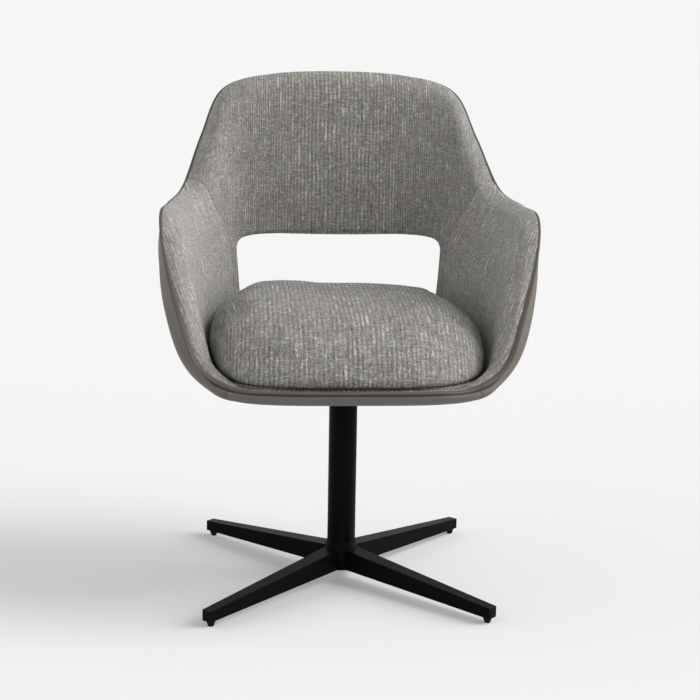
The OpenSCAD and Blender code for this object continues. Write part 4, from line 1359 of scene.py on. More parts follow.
@dataclass
class DeckPad:
    """The thin pad over the seat board that the cushion lies on."""

    net: ShellNet
    edge_radius: float = 5 * MM
    inset: float = 0.5 * MM
    ring_step: float = 0.1
    ripple: float = 0.5 * MM
    ripple_turns: float = 9.0
    from_seam: float = 0.02

    def build(self) -> bpy.types.Object:
        """Builds the pad. Returns: the finished piece."""
        net = self.net
        low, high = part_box("deck_pad")
        u = np.arange(0, 2 * net.last, self.ring_step)
        e = net.lean(u, np.zeros_like(u))
        centre = net.floor_centre
        rows = []
        radius = self.edge_radius
        turns = np.linspace(0, math.pi / 2, 6)
        round_off = [(radius * (1 - math.sin(t)), radius * (1 - math.cos(t))) for t in turns]
        levels = [(inset, low.z + rise) for inset, rise in round_off]
        levels += [(rise, high.z - inset) for inset, rise in round_off]
        for inset, z in levels:
            edge = net.floor_point(e, np.full(len(u), z))
            edge[:, :2] += unit(centre - edge[:, :2]) * (inset + self.inset)
            rows.append(edge)
        top = rows[-1][:, :2]
        for share in np.linspace(0.1, 0.95, 14):
            soft = self.ripple * math.cos(share * self.ripple_turns) - self.ripple
            rows.append(np.column_stack([mix(top, centre, share), np.full(len(u), high.z + soft)]))
        weave = [np.column_stack([row[:, :2], np.full(len(u), self.from_seam)]) for row in rows]
        made = grid_mesh("deck_pad_soft", rows, (False, True), cap_faces(len(rows), len(u)), weave)
        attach(made, SEAT_BODY)
        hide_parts("deck_pad")
        return made


def coordinates(made: bpy.types.Object) -> np.ndarray:
    """Points of an object's mesh. Args: made: the object. Returns: shape (n, 3), in metres."""
    mesh = made.data
    flat = np.zeros(len(mesh.vertices) * 3)
    mesh.vertices.foreach_get("co", flat)
    return flat.reshape(-1, 3)


def set_coordinates(made: bpy.types.Object, points: np.ndarray) -> None:
    """Moves an object's points. Args: made: the object; points: shape (n, 3), in metres."""
    made.data.vertices.foreach_set("co", points.ravel())
    made.data.update()


def vertex_normals(made: bpy.types.Object) -> np.ndarray:
    """Normals at an object's points. Args: made: the object. Returns: shape (n, 3)."""
    mesh = made.data
    flat = np.zeros(len(mesh.vertices) * 3)
    mesh.vertex_normals.foreach_get("vector", flat)
    return flat.reshape(-1, 3)


def relax(made: bpy.types.Object, times: int, factor: float) -> None:
    """Smooths a mesh. Args: made: the object; times: passes; factor: share moved in each."""
    work = bmesh.new()
    work.from_mesh(made.data)
    for _ in range(times):
        bmesh.ops.smooth_vert(
            work, verts=work.verts, factor=factor, use_axis_x=True, use_axis_y=True, use_axis_z=True
        )
    work.to_mesh(made.data)
    work.free()
    made.data.update()


class Nodes:
    """Short ways to place and link shader nodes in one tree."""

    def __init__(self, tree: bpy.types.NodeTree) -> None:
        """Keeps the tree. Args: tree: where the nodes go."""
        self.tree = tree

    def add(self, kind: str, **settings: object) -> bpy.types.Node:
        """Adds a node. Args: kind: its type; settings: its properties. Returns: the node."""
        node = self.tree.nodes.new(kind)
        for key, value in settings.items():
            setattr(node, key, value)
        return node

    def put(self, socket: bpy.types.NodeSocket, value: object) -> None:
        """Links an output to an input, or writes a value. Args: socket: input; value: what goes in."""
        if isinstance(value, bpy.types.NodeSocket):
            self.tree.links.new(value, socket)
        else:
            socket.default_value = value

    def math(self, operation: str, a: object, b: object = 0.0, clamp: bool = False) -> bpy.types.NodeSocket:
        """A Math node. Args: operation: its kind; a, b: inputs; clamp: keep 0 to 1. Returns: its output."""
        node = self.add("ShaderNodeMath", operation=operation, use_clamp=clamp)
        self.put(node.inputs[0], a)
        self.put(node.inputs[1], b)
        return node.outputs[0]

    def times(self, a: object, b: object) -> bpy.types.NodeSocket:
        """Multiplies two numbers. Args: a, b. Returns: the product."""
        return self.math("MULTIPLY", a, b)

    def plus(self, a: object, b: object) -> bpy.types.NodeSocket:
        """Adds two numbers. Args: a, b. Returns: the sum."""
        return self.math("ADD", a, b)

    def swing(self, value: object, amount: float) -> bpy.types.NodeSocket:
        """Moves a value from 0 to 1 so that it lies about zero. Args: value; amount. Returns: the output."""
        return self.times(self.math("SUBTRACT", value, 0.5), amount)

    def split(self, vector: object) -> Sequence[bpy.types.NodeSocket]:
        """Takes a vector apart. Args: vector. Returns: its three numbers."""
        node = self.add("ShaderNodeSeparateXYZ")
        self.put(node.inputs[0], vector)
        return tuple(node.outputs)

    def span(self, value: object, low: float, high: float) -> bpy.types.NodeSocket:
        """A smooth step from 0 at low to 1 at high. Args: value, low, high. Returns: the output."""
        node = self.add("ShaderNodeMapRange", interpolation_type="SMOOTHSTEP")
        self.put(node.inputs["Value"], value)
        self.put(node.inputs["From Min"], low)
        self.put(node.inputs["From Max"], high)
        return node.outputs["Result"]

    def vector(self, x: object, y: object, z: object = 0.0) -> bpy.types.NodeSocket:
        """Joins three numbers. Args: x, y, z. Returns: the vector."""
        node = self.add("ShaderNodeCombineXYZ")
        for socket, value in zip(node.inputs, (x, y, z)):
            self.put(socket, value)
        return node.outputs[0]

    def noise(
        self, place: object, scale: float, detail: float = 2.0, rough: float = 0.5
    ) -> bpy.types.NodeSocket:
        """A Noise texture. Args: place: vector; scale; detail; rough. Returns: its value."""
        node = self.add("ShaderNodeTexNoise")
        self.put(node.inputs["Vector"], place)
        self.put(node.inputs["Scale"], scale)
        self.put(node.inputs["Detail"], detail)
        self.put(node.inputs["Roughness"], rough)
        return node.outputs["Fac"]

    def blend(self, share: object, a: object, b: object, kind: str = "MIX") -> bpy.types.NodeSocket:
        """A colour Mix node. Args: share: how much of b; a, b: colours; kind: mode. Returns: the colour."""
        node = self.add("ShaderNodeMix", data_type="RGBA", blend_type=kind)
        self.put(node.inputs["Factor"], share)
        self.put(node.inputs["A"], a)
        self.put(node.inputs["B"], b)
        return node.outputs["Result"]


def new_group(
    name: str, inputs: Sequence[tuple[str, str, object]], outputs: Sequence[tuple[str, str]]
) -> tuple[bpy.types.NodeTree, Nodes, dict, bpy.types.Node]:
    """Starts a shader node group.

    Args:
        name: the group's name.
        inputs: name, socket type and default of each input.
        outputs: name and socket type of each output.

    Returns:
        The tree, its node helper, its inputs by name and its output node.
    """
    tree = bpy.data.node_groups.new(name, "ShaderNodeTree")
    for label, kind, default in inputs:
        socket = tree.interface.new_socket(label, in_out="INPUT", socket_type=kind)
        if default is not None:
            socket.default_value = default
    for label, kind in outputs:
        tree.interface.new_socket(label, in_out="OUTPUT", socket_type=kind)
    nodes = Nodes(tree)
    entry = nodes.add("NodeGroupInput")
    leave = nodes.add("NodeGroupOutput")
    return tree, nodes, {s.name: s for s in entry.outputs}, leave


def weave_group() -> bpy.types.NodeTree:
    """Melange cloth: raised ribs along the warp, with painted light and shade across them, single threads both
    ways and sparse cream slubs.

    Returns:
        The group. Its Place is the cloth's own coordinates in metres.
    """
    tree, n, given, leave = new_group(
        "melange_weave",
        [
            ("Place", "NodeSocketVector", None), ("Ground", "NodeSocketColor", None),
            ("Cream", "NodeSocketColor", None), ("Shade", "NodeSocketColor", None),
            ("Thread", "NodeSocketFloat", 0.0016), ("Rib", "NodeSocketFloat", 0.0076),
            ("Slub Length", "NodeSocketFloat", 0.028), ("Contrast", "NodeSocketFloat", 1.0),
            ("Rib Contrast", "NodeSocketFloat", 1.0),
        ],
        [("Color", "NodeSocketColor"), ("Height", "NodeSocketFloat")],
    )

    def threads(across: object, along: object, seed: float, detail: float = 1.0) -> bpy.types.NodeSocket:
        """Noise along the threads. Args: across, along: places; seed; detail. Returns: the output."""
        return n.noise(n.vector(across, along, seed), 1.0, detail)

    place = given["Place"]
    x, b, _ = n.split(place)
    a = n.plus(x, n.swing(n.noise(place, 14.0, 1.0), 0.004))
    rib = n.math("DIVIDE", a, given["Rib"])
    rib_row = n.math("FLOOR", n.plus(rib, 0.5))
    crest = n.math("COSINE", n.times(rib, 2 * math.pi))
    long_b = n.math("DIVIDE", b, given["Slub Length"])
    warp_row = n.math("FLOOR", n.math("DIVIDE", a, given["Thread"]))
    weft_row = n.math("FLOOR", n.math("DIVIDE", b, given["Thread"]))
    rib_tone = threads(n.times(rib_row, 7.31), n.times(long_b, 0.4), 3.1)
    slub = threads(n.times(rib_row, 11.73), long_b, 8.6, 1.5)
    warp = threads(n.times(warp_row, 5.77), long_b, 1.7)
    bead = threads(n.times(warp_row, 7.39), n.times(weft_row, 4.63), 6.2, 0.0)
    weft = threads(n.times(a, 70.0), n.times(weft_row, 9.13), 4.4)
    dash = n.span(threads(n.times(a, 60.0), n.times(weft_row, 3.37), 2.9, 0.0), 0.66, 0.8)
    # Lighter rib crests and darker troughs, varied rib by rib: painted light and shade of the rib relief.
    ribbed = n.times(n.times(crest, given["Rib Contrast"]), n.times(rib_tone, 0.3))
    slubbed = n.times(n.span(slub, 0.56, 0.76), n.times(n.plus(crest, 0.6), 0.34))
    mixed = n.plus(n.plus(ribbed, slubbed), n.plus(n.swing(warp, 1.0), n.swing(bead, 1.5)))
    mixed = n.plus(mixed, n.plus(n.swing(weft, 0.8), n.times(dash, 0.3)))
    mixed = n.plus(mixed, n.swing(n.noise(place, 22.0, 2.0), 0.15))
    level = n.times(mixed, given["Contrast"])
    colour = n.blend(n.span(level, 0.0, 0.62), given["Ground"], given["Cream"])
    colour = n.blend(n.span(level, 0.05, -0.6), colour, given["Shade"])
    warm = n.blend(1.0, colour, (1.0, 0.985, 0.945, 1.0), "MULTIPLY")
    cool = n.blend(1.0, colour, (0.975, 0.985, 1.0, 1.0), "MULTIPLY")
    tint = threads(n.times(rib, 0.7), n.times(long_b, 0.9), 5.1)
    colour = n.blend(n.span(tint, 0.35, 0.65), warm, cool)
    over = n.math("MODULO", n.plus(n.math("ABSOLUTE", warp_row), n.math("ABSOLUTE", weft_row)), 2.0)
    height = n.plus(n.plus(n.times(crest, 0.2), n.times(over, 0.25)), n.times(bead, 0.5))
    n.put(leave.inputs["Color"], colour)
    n.put(leave.inputs["Height"], height)
    return tree


def grain_group() -> bpy.types.NodeTree:
    """Fine pebble grain of leatherette, with soft mottling. Returns: the group."""
    tree, n, given, leave = new_group(
        "pebble_grain",
        [
            ("Place", "NodeSocketVector", None), ("Size", "NodeSocketFloat", 0.0011),
            ("Base", "NodeSocketColor", None), ("Deep", "NodeSocketColor", None),
        ],
        [("Color", "NodeSocketColor"), ("Height", "NodeSocketFloat"), ("Roughness", "NodeSocketFloat")],
    )
    cells = n.add("ShaderNodeTexVoronoi", feature="DISTANCE_TO_EDGE")
    n.put(cells.inputs["Vector"], given["Place"])
    n.put(cells.inputs["Scale"], n.math("DIVIDE", 1.0, given["Size"]))
    valley = n.span(cells.outputs["Distance"], 0.0, 0.16)
    mottle = n.noise(given["Place"], 45.0, 3.0)
    cloud = n.noise(given["Place"], 9.0, 2.0)
    colour = n.blend(n.times(n.math("SUBTRACT", 1.0, valley), 0.35), given["Base"], given["Deep"])
    clouded = n.plus(n.math("SUBTRACT", mottle, 0.5), n.math("SUBTRACT", cloud, 0.5))
    colour = n.blend(n.math("MULTIPLY", clouded, 0.5, clamp=True), colour, given["Deep"])
    fine = n.noise(given["Place"], 2400.0, 1.0)
    n.put(leave.inputs["Color"], colour)
    n.put(leave.inputs["Height"], n.plus(valley, n.times(fine, 0.25)))
    n.put(leave.inputs["Roughness"], n.plus(0.5, n.times(mottle, 0.16)))
    return tree


def speck_group() -> bpy.types.NodeTree:
    """Surface of a coating or moulding: fine texture, mottling and a little dust. Returns: the group."""
    tree, n, given, leave = new_group(
        "coat_texture",
        [
            ("Place", "NodeSocketVector", None), ("Base", "NodeSocketColor", None),
            ("Dust", "NodeSocketColor", None), ("Grain", "NodeSocketFloat", 1500.0),
            ("Gloss", "NodeSocketFloat", 0.45),
        ],
        [("Color", "NodeSocketColor"), ("Height", "NodeSocketFloat"), ("Roughness", "NodeSocketFloat")],
    )
    fine = n.noise(given["Place"], given["Grain"], 2.0)
    cloud = n.noise(given["Place"], 14.0, 3.0)
    specks = n.span(n.noise(given["Place"], 420.0, 3.0, 0.7), 0.62, 0.8)
    dust = n.times(specks, n.span(cloud, 0.45, 0.7))
    n.put(leave.inputs["Color"], n.blend(n.times(dust, 0.25), given["Base"], given["Dust"]))
    n.put(leave.inputs["Height"], fine)
    n.put(leave.inputs["Roughness"], n.plus(given["Gloss"], n.swing(cloud, 0.14)))
    return tree


class Library:
    """Builds each shared node group once."""

    def __init__(self) -> None:
        """Starts empty."""
        self.made: dict[str, bpy.types.NodeTree] = {}
        self.makers: dict[str, Callable[[], bpy.types.NodeTree]] = {
            "weave": weave_group, "grain": grain_group, "speck": speck_group,
        }

    def get(self, name: str) -> bpy.types.NodeTree:
        """A group by its short name. Args: name. Returns: the group."""
        if name not in self.made:
            self.made[name] = self.makers[name]()
        return self.made[name]


LIBRARY = Library()


def srgb(r: float, g: float, b: float) -> tuple[float, float, float, float]:
    """A colour written in the usual 0 to 255 steps. Args: r, g, b. Returns: linear colour."""
    def linear(c: float) -> float:
        c /= 255
        return c / 12.92 if c <= 0.04045 else ((c + 0.055) / 1.055) ** 2.4

    return (linear(r), linear(g), linear(b), 1.0)


@dataclass(frozen=True)
class Finish:
    """A material with a Principled shader. Plain values are set on the shader itself."""

    name: str
    roughness: float = 0.5
    specular: float = 0.5
    metallic: float = 0.0

    def start(self) -> tuple[bpy.types.Material, Nodes, bpy.types.Node]:
        """Makes the material. Returns: the material, its node helper and its shader."""
        material = bpy.data.materials.new(self.name)
        material.use_nodes = True
        shader = material.node_tree.nodes["Principled BSDF"]
        shader.inputs["Roughness"].default_value = self.roughness
        shader.inputs["Specular IOR Level"].default_value = self.specular
        shader.inputs["Metallic"].default_value = self.metallic
        return material, Nodes(material.node_tree), shader

    def bump(
        self, nodes: Nodes, shader: bpy.types.Node, height: bpy.types.NodeSocket, distance: float,
        strength: float,
    ) -> None:
        """Adds a bump. Args: nodes; shader; height: the relief; distance: its depth; strength."""
        node = nodes.add("ShaderNodeBump")
        nodes.put(node.inputs["Height"], height)
        node.inputs["Distance"].default_value = distance
        node.inputs["Strength"].default_value = strength
        nodes.put(shader.inputs["Normal"], node.outputs["Normal"])

    def group(self, nodes: Nodes, name: str, **values: object) -> bpy.types.Node:
        """Places a shared group. Args: nodes; name: short name; values: its inputs. Returns: the node."""
        node = nodes.add("ShaderNodeGroup", node_tree=LIBRARY.get(name))
        for key, value in values.items():
            nodes.put(node.inputs[key.replace("_", " ")], value)
        return node

    def own_place(self, nodes: Nodes) -> bpy.types.NodeSocket:
        """The cloth or leather coordinates kept on the mesh. Args: nodes. Returns: the vector."""
        return nodes.add("ShaderNodeAttribute", attribute_name=WEAVE).outputs["Vector"]

    def object_place(self, nodes: Nodes) -> bpy.types.NodeSocket:
        """Object coordinates. Args: nodes. Returns: the vector."""
        return nodes.add("ShaderNodeTexCoord").outputs["Object"]


@dataclass(frozen=True)
class MelangeCloth(Finish):
    """Warm grey melange upholstery cloth."""

    ground: tuple[float, ...] = srgb(138, 136, 132)
    cream: tuple[float, ...] = srgb(205, 202, 196)
    shade: tuple[float, ...] = srgb(78, 75, 71)
    thread: float = 1.6 * MM
    rib: float = 7.6 * MM
    slub_length: float = 28 * MM
    contrast: float = 0.74
    # Strength of the painted light and shade across the ribs.
    rib_contrast: float = 1.0
    # Tone above 1 is painted light, below 1 painted shade, on a copy of the same cloth.
    tone: float = 1.0

    def toned(self, colour: tuple[float, ...]) -> tuple[float, ...]:
        """A colour made lighter or darker by the tone, which paints light (above 1) and shade (below 1) on
        this copy of the one cloth. Args: colour. Returns: the colour.
        """
        return tuple(c * self.tone for c in colour[:3]) + (1.0,)

    def build(self) -> bpy.types.Material:
        """Builds the material. Returns: the material."""
        material, nodes, shader = self.start()
        place = self.own_place(nodes)
        ground, cream, shade = (self.toned(colour) for colour in (self.ground, self.cream, self.shade))
        weave = self.group(
            nodes, "weave", Place=place, Ground=ground, Cream=cream, Shade=shade,
            Thread=self.thread, Rib=self.rib, Slub_Length=self.slub_length, Contrast=self.contrast,
            Rib_Contrast=self.rib_contrast,
        )
        # Darker close to a seam: painted shade in the seam, with some soiling.
        near_seam = nodes.span(nodes.split(place)[2], 1.6 * MM, 0.0)
        colour = nodes.blend(nodes.times(near_seam, 0.12), weave.outputs["Color"], shade)
        nodes.put(shader.inputs["Base Color"], colour)
        shader.inputs["Sheen Weight"].default_value = 0.12
        shader.inputs["Sheen Roughness"].default_value = 0.5
        self.bump(nodes, shader, weave.outputs["Height"], 0.45 * MM, 0.7)
        return material


@dataclass(frozen=True)
class Leatherette(Finish):
    """Smooth matt leatherette with a fine grain, darker in its seams and at its edges: painted shade, with
    some soiling.
    """

    base: tuple[float, ...] = srgb(105, 98, 92)
    deep: tuple[float, ...] = srgb(71, 65, 61)
    grain: float = 1.0 * MM

    def build(self) -> bpy.types.Material:
        """Builds the material. Returns: the material."""
        material, nodes, shader = self.start()
        grain = self.group(
            nodes, "grain", Place=self.object_place(nodes), Size=self.grain, Base=self.base, Deep=self.deep
        )
        # Nearly black within 1.1 mm of a seam or edge: painted shade, with some soiling.
        near_seam = nodes.span(nodes.split(self.own_place(nodes))[2], 1.1 * MM, 0.0)
        dark = tuple(c * 0.3 for c in self.deep[:3]) + (1.0,)
        colour = nodes.blend(nodes.times(near_seam, 0.7), grain.outputs["Color"], dark)
        nodes.put(shader.inputs["Base Color"], colour)
        nodes.put(shader.inputs["Roughness"], grain.outputs["Roughness"])
        self.bump(nodes, shader, grain.outputs["Height"], 0.12 * MM, 0.5)
        return material


@dataclass(frozen=True)
class Coating(Finish):
    """Powder coat or fine moulded plastic."""

    base: tuple[float, ...] = srgb(20, 20, 20)
    dust: tuple[float, ...] = srgb(60, 58, 55)
    grain: float = 1500.0
    relief: float = 0.03 * MM
    strength: float = 0.35

    def build(self) -> bpy.types.Material:
        """Builds the material. Returns: the material."""
        material, nodes, shader = self.start()
        speck = self.group(
            nodes, "speck", Place=self.object_place(nodes), Base=self.base, Dust=self.dust,
            Grain=self.grain, Gloss=self.roughness,
        )
        nodes.put(shader.inputs["Base Color"], speck.outputs["Color"])
        nodes.put(shader.inputs["Roughness"], speck.outputs["Roughness"])
        self.bump(nodes, shader, speck.outputs["Height"], self.relief, self.strength)
        return material


@dataclass(frozen=True)
class Plywood(Finish):
    """Raw moulded plywood with long grain."""

    pale: tuple[float, ...] = srgb(222, 192, 150)
    dark: tuple[float, ...] = srgb(186, 148, 104)

    def build(self) -> bpy.types.Material:
        """Builds the material. Returns: the material."""
        material, nodes, shader = self.start()
        x, y, z = nodes.split(self.object_place(nodes))
        stretched = nodes.vector(nodes.times(x, 6.0), nodes.times(y, 160.0), nodes.times(z, 60.0))
        grain = nodes.noise(stretched, 1.0, 4.0)
        plies = nodes.math("FRACT", nodes.times(z, 650.0))
        edge = nodes.times(nodes.span(plies, 0.4, 0.6), 0.3)
        colour = nodes.blend(grain, self.pale, self.dark)
        nodes.put(shader.inputs["Base Color"], nodes.blend(edge, colour, self.dark))
        self.bump(nodes, shader, grain, 0.1 * MM, 0.3)
        return material


@dataclass(frozen=True)
class SheetCloth(Finish):
    """Thin non-woven sheet: black under the seat, grey as the lining over the moulded plywood."""

    base: tuple[float, ...] = srgb(34, 34, 35)
    fibre: tuple[float, ...] = srgb(62, 62, 64)

    def build(self) -> bpy.types.Material:
        """Builds the material. Returns: the material."""
        material, nodes, shader = self.start()
        place = self.object_place(nodes)
        dots = nodes.add("ShaderNodeTexVoronoi")
        nodes.put(dots.inputs["Vector"], place)
        dots.inputs["Scale"].default_value = 700.0
        dots.inputs["Randomness"].default_value = 0.2
        fibres = nodes.noise(place, 900.0, 4.0, 0.7)
        colour = nodes.blend(nodes.span(fibres, 0.45, 0.75), self.base, self.fibre)
        nodes.put(shader.inputs["Base Color"], colour)
        self.bump(nodes, shader, nodes.plus(dots.outputs["Distance"], fibres), 0.2 * MM, 0.5)
        return material


@dataclass(frozen=True)
class Zinc(Finish):
    """Zinc plated steel with a faint brushed and clouded look."""

    base: tuple[float, ...] = srgb(196, 198, 202)
    dull: tuple[float, ...] = srgb(150, 150, 150)

    def build(self) -> bpy.types.Material:
        """Builds the material. Returns: the material."""
        material, nodes, shader = self.start()
        place = self.object_place(nodes)
        cloud = nodes.noise(place, 60.0, 3.0)
        nodes.put(shader.inputs["Base Color"], nodes.blend(cloud, self.base, self.dull))
        nodes.put(shader.inputs["Roughness"], nodes.plus(0.28, nodes.times(cloud, 0.2)))
        self.bump(nodes, shader, nodes.noise(place, 1800.0, 2.0), 0.02 * MM, 0.3)
        return material


@dataclass
class BaseDressing:
    """Softened edges and welds of the parts that the frame carries over."""

    hub_r: float = 27.5 * MM
    leg_root_w: float = 30 * MM
    leg_root_h: float = 36 * MM
    bead_r: float = 1.7 * MM
    bead_lift: float = 0.3 * MM
    below_top: float = 0.8 * MM
    side_steps: int = 16
    round_steps: int = 10
    angles: tuple[int, ...] = (225, 315, 135, 45)

    ROUNDED = {
        "leg": 1.8 * MM, "end_cap": 2.6 * MM, "hub": 1.0 * MM, "column": 0.6 * MM,
        "mounting_plate": 0.8 * MM, "glide": 0.5 * MM,
    }

    def soften(self) -> None:
        """Rounds the sharp edges of the carried-over parts with modifiers."""
        for name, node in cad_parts.items():
            width = next((w for key, w in self.ROUNDED.items() if name.startswith(key)), None)
            if width is None or name == "hub_plug":
                continue
            weld = node.modifiers.new("join", "WELD")
            weld.merge_threshold = 0.01 * MM
            bevel = node.modifiers.new("round", "BEVEL")
            bevel.width = width
            bevel.segments = 3
            bevel.limit_method = "ANGLE"
            bevel.angle_limit = math.radians(35)
            bevel.harden_normals = True

    def weld_bead(self, index: int, angle: int) -> bpy.types.Object:
        """A weld bead round a leg's root on the hub.

        Args:
            index: number of the leg.
            angle: direction of the leg, in degrees.

        Returns:
            The finished piece.
        """
        _, leg_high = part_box(("leg_front_left", "leg_front_right", "leg_back_left", "leg_back_right")[index])
        top = leg_high.z - self.below_top
        bottom = top - self.leg_root_h + 1.5 * MM
        half = self.leg_root_w / 2
        corners = [(-half, bottom), (-half, top), (half, top), (half, bottom)]
        path = [
            (mix(y0, y1, t), mix(z0, z1, t))
            for (y0, z0), (y1, z1) in zip(corners, corners[1:])
            for t in np.linspace(0, 1, self.side_steps, endpoint=False)
        ]
        path.append(corners[-1])
        spine = []
        for y, z in path:
            swing = math.asin(y / self.hub_r)
            spine.append((self.hub_r * math.cos(swing) + self.bead_lift, y * 1.02, z))
        spine = np.array(spine)
        ahead = unit(np.gradient(spine, axis=0))
        out = unit(spine * np.array([1, 1, 0]))
        side = np.cross(ahead, out)
        rows = []
        steps = np.arange(len(spine))
        swell = self.bead_r * (1 + 0.12 * np.sin(steps * 2.1 + index) + 0.08 * np.sin(steps * 0.7))
        swell *= smoothstep((steps + 1) / 3) * smoothstep((len(spine) - steps) / 3)
        for turn in np.linspace(0, 2 * math.pi, self.round_steps, endpoint=False):
            rows.append(spine + (out * math.cos(turn) + side * math.sin(turn)) * swell[:, None])
        m = len(spine)
        ends = [[k * m + column for k in range(len(rows))] for column in (0, m - 1)]
        made = grid_mesh(f"weld_bead_{index + 1}", rows, (True, False), ends)
        made.data.transform(Matrix.Rotation(math.radians(angle), 4, "Z"))
        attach(made, BASE_BODY)
        return made


class Wear(Enum):
    """What a piece can wear. Each value is the name of one of the Paintwork's finishes."""

    CLOTH = "cloth"
    ARM_CLOTH = "arm_cloth"
    CUSHION_CLOTH = "cushion_cloth"
    LEATHER = "leather"
    STRIP_LEATHER = "strip_leather"
    STEEL = "steel"
    PLASTIC = "plastic"
    GLIDE_PLASTIC = "glide_plastic"
    ACETAL = "acetal"
    PLYWOOD = "plywood"
    SHEET = "sheet"
    LINING = "lining"
    ZINC = "zinc"


@dataclass
class Paintwork:
    """All finishes, and which part wears which."""

    # Back, arms and cushion wear one cloth: the arms' copy is lighter as painted light, the back's and the
    # cushion's are darker as painted shade.
    cloth: MelangeCloth = MelangeCloth("melange_cloth_back_painted_shade", roughness=0.92, specular=0.15, tone=0.96)
    arm_cloth: MelangeCloth = MelangeCloth(
        "melange_cloth_arms_painted_light", roughness=0.92, specular=0.15, contrast=0.62, tone=1.11
    )
    cushion_cloth: MelangeCloth = MelangeCloth(
        "melange_cloth_cushion_painted_shade", roughness=0.92, specular=0.15, contrast=0.8, rib_contrast=0.8, tone=0.93
    )
    leather: Leatherette = Leatherette("taupe_leatherette", roughness=0.55, specular=0.28)
    # The strip is the cover's leatherette; this darker copy of it is painted shade.
    strip_leather: Leatherette = Leatherette(
        "taupe_strip_leatherette_painted_shade", roughness=0.55, specular=0.25, base=srgb(97, 91, 86), deep=srgb(62, 57, 53)
    )
    steel: Coating = Coating(
        "black_powder_coat", roughness=0.42, specular=0.045, base=srgb(6, 6, 6), dust=srgb(26, 25, 24)
    )
    plastic: Coating = Coating(
        "black_moulded_plastic", roughness=0.5, specular=0.06, base=srgb(7, 7, 7), dust=srgb(28, 27, 26),
        grain=900.0,
    )
    glide_plastic: Coating = Coating(
        "glide_plastic", roughness=0.38, specular=0.1, base=srgb(9, 9, 9), grain=700.0
    )
    acetal: Coating = Coating(
        "white_acetal", roughness=0.4, base=srgb(232, 230, 222), dust=srgb(190, 186, 176), grain=600.0
    )
    plywood: Plywood = Plywood("moulded_plywood", roughness=0.65, specular=0.3)
    sheet: SheetCloth = SheetCloth("black_non_woven", roughness=0.95, specular=0.1)
    lining: SheetCloth = SheetCloth(
        "grey_lining", roughness=0.95, specular=0.1, base=srgb(98, 95, 91), fibre=srgb(128, 125, 120)
    )
    zinc: Zinc = Zinc("zinc_plated_steel", roughness=0.35, metallic=1.0)

    # Finishes of the carried-over parts, by how their names begin. The first that fits counts.
    WORN_BY = (
        (Wear.PLASTIC, ("hub_plug", "end_cap_")),
        (Wear.GLIDE_PLASTIC, ("glide_",)),
        (Wear.ACETAL, ("upper_bush", "lower_bush")),
        (Wear.ZINC, ("thrust_washer", "spindle_washer", "spindle_clip", "plate_bolts", "tee_nuts")),
        (Wear.PLYWOOD, ("seat_board", "front_rail")),
        (Wear.SHEET, ("dust_cover",)),
        (Wear.LINING, ("side_panel_", "back_panel")),
        (Wear.STEEL, ("leg_", "hub", "column", "spindle", "mounting_plate")),
    )

    def build(self) -> None:
        """Builds every material."""
        self.made = {wear: getattr(self, wear.value).build() for wear in Wear}

    def dress(self, piece: bpy.types.Object, wear: Wear) -> None:
        """Gives a new piece its material. Args: piece; wear: which finish."""
        piece.data.materials.clear()
        piece.data.materials.append(self.made[wear])

    def dress_nodes(self) -> None:
        """Gives every carried-over part its material."""
        for name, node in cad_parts.items():
            wear = next((wear for wear, starts in self.WORN_BY if name.startswith(starts)), None)
            if wear is None:
                continue
            if not node.material_slots:
                node.data.materials.append(self.made[wear])
            for slot in node.material_slots:
                slot.material = self.made[wear]


@dataclass(frozen=True)
class Lamp:
    """A distant light: where it stands, in degrees, how strong it is and how wide it looks."""

    name: str
    strength: float
    azimuth: float
    elevation: float
    softness: float


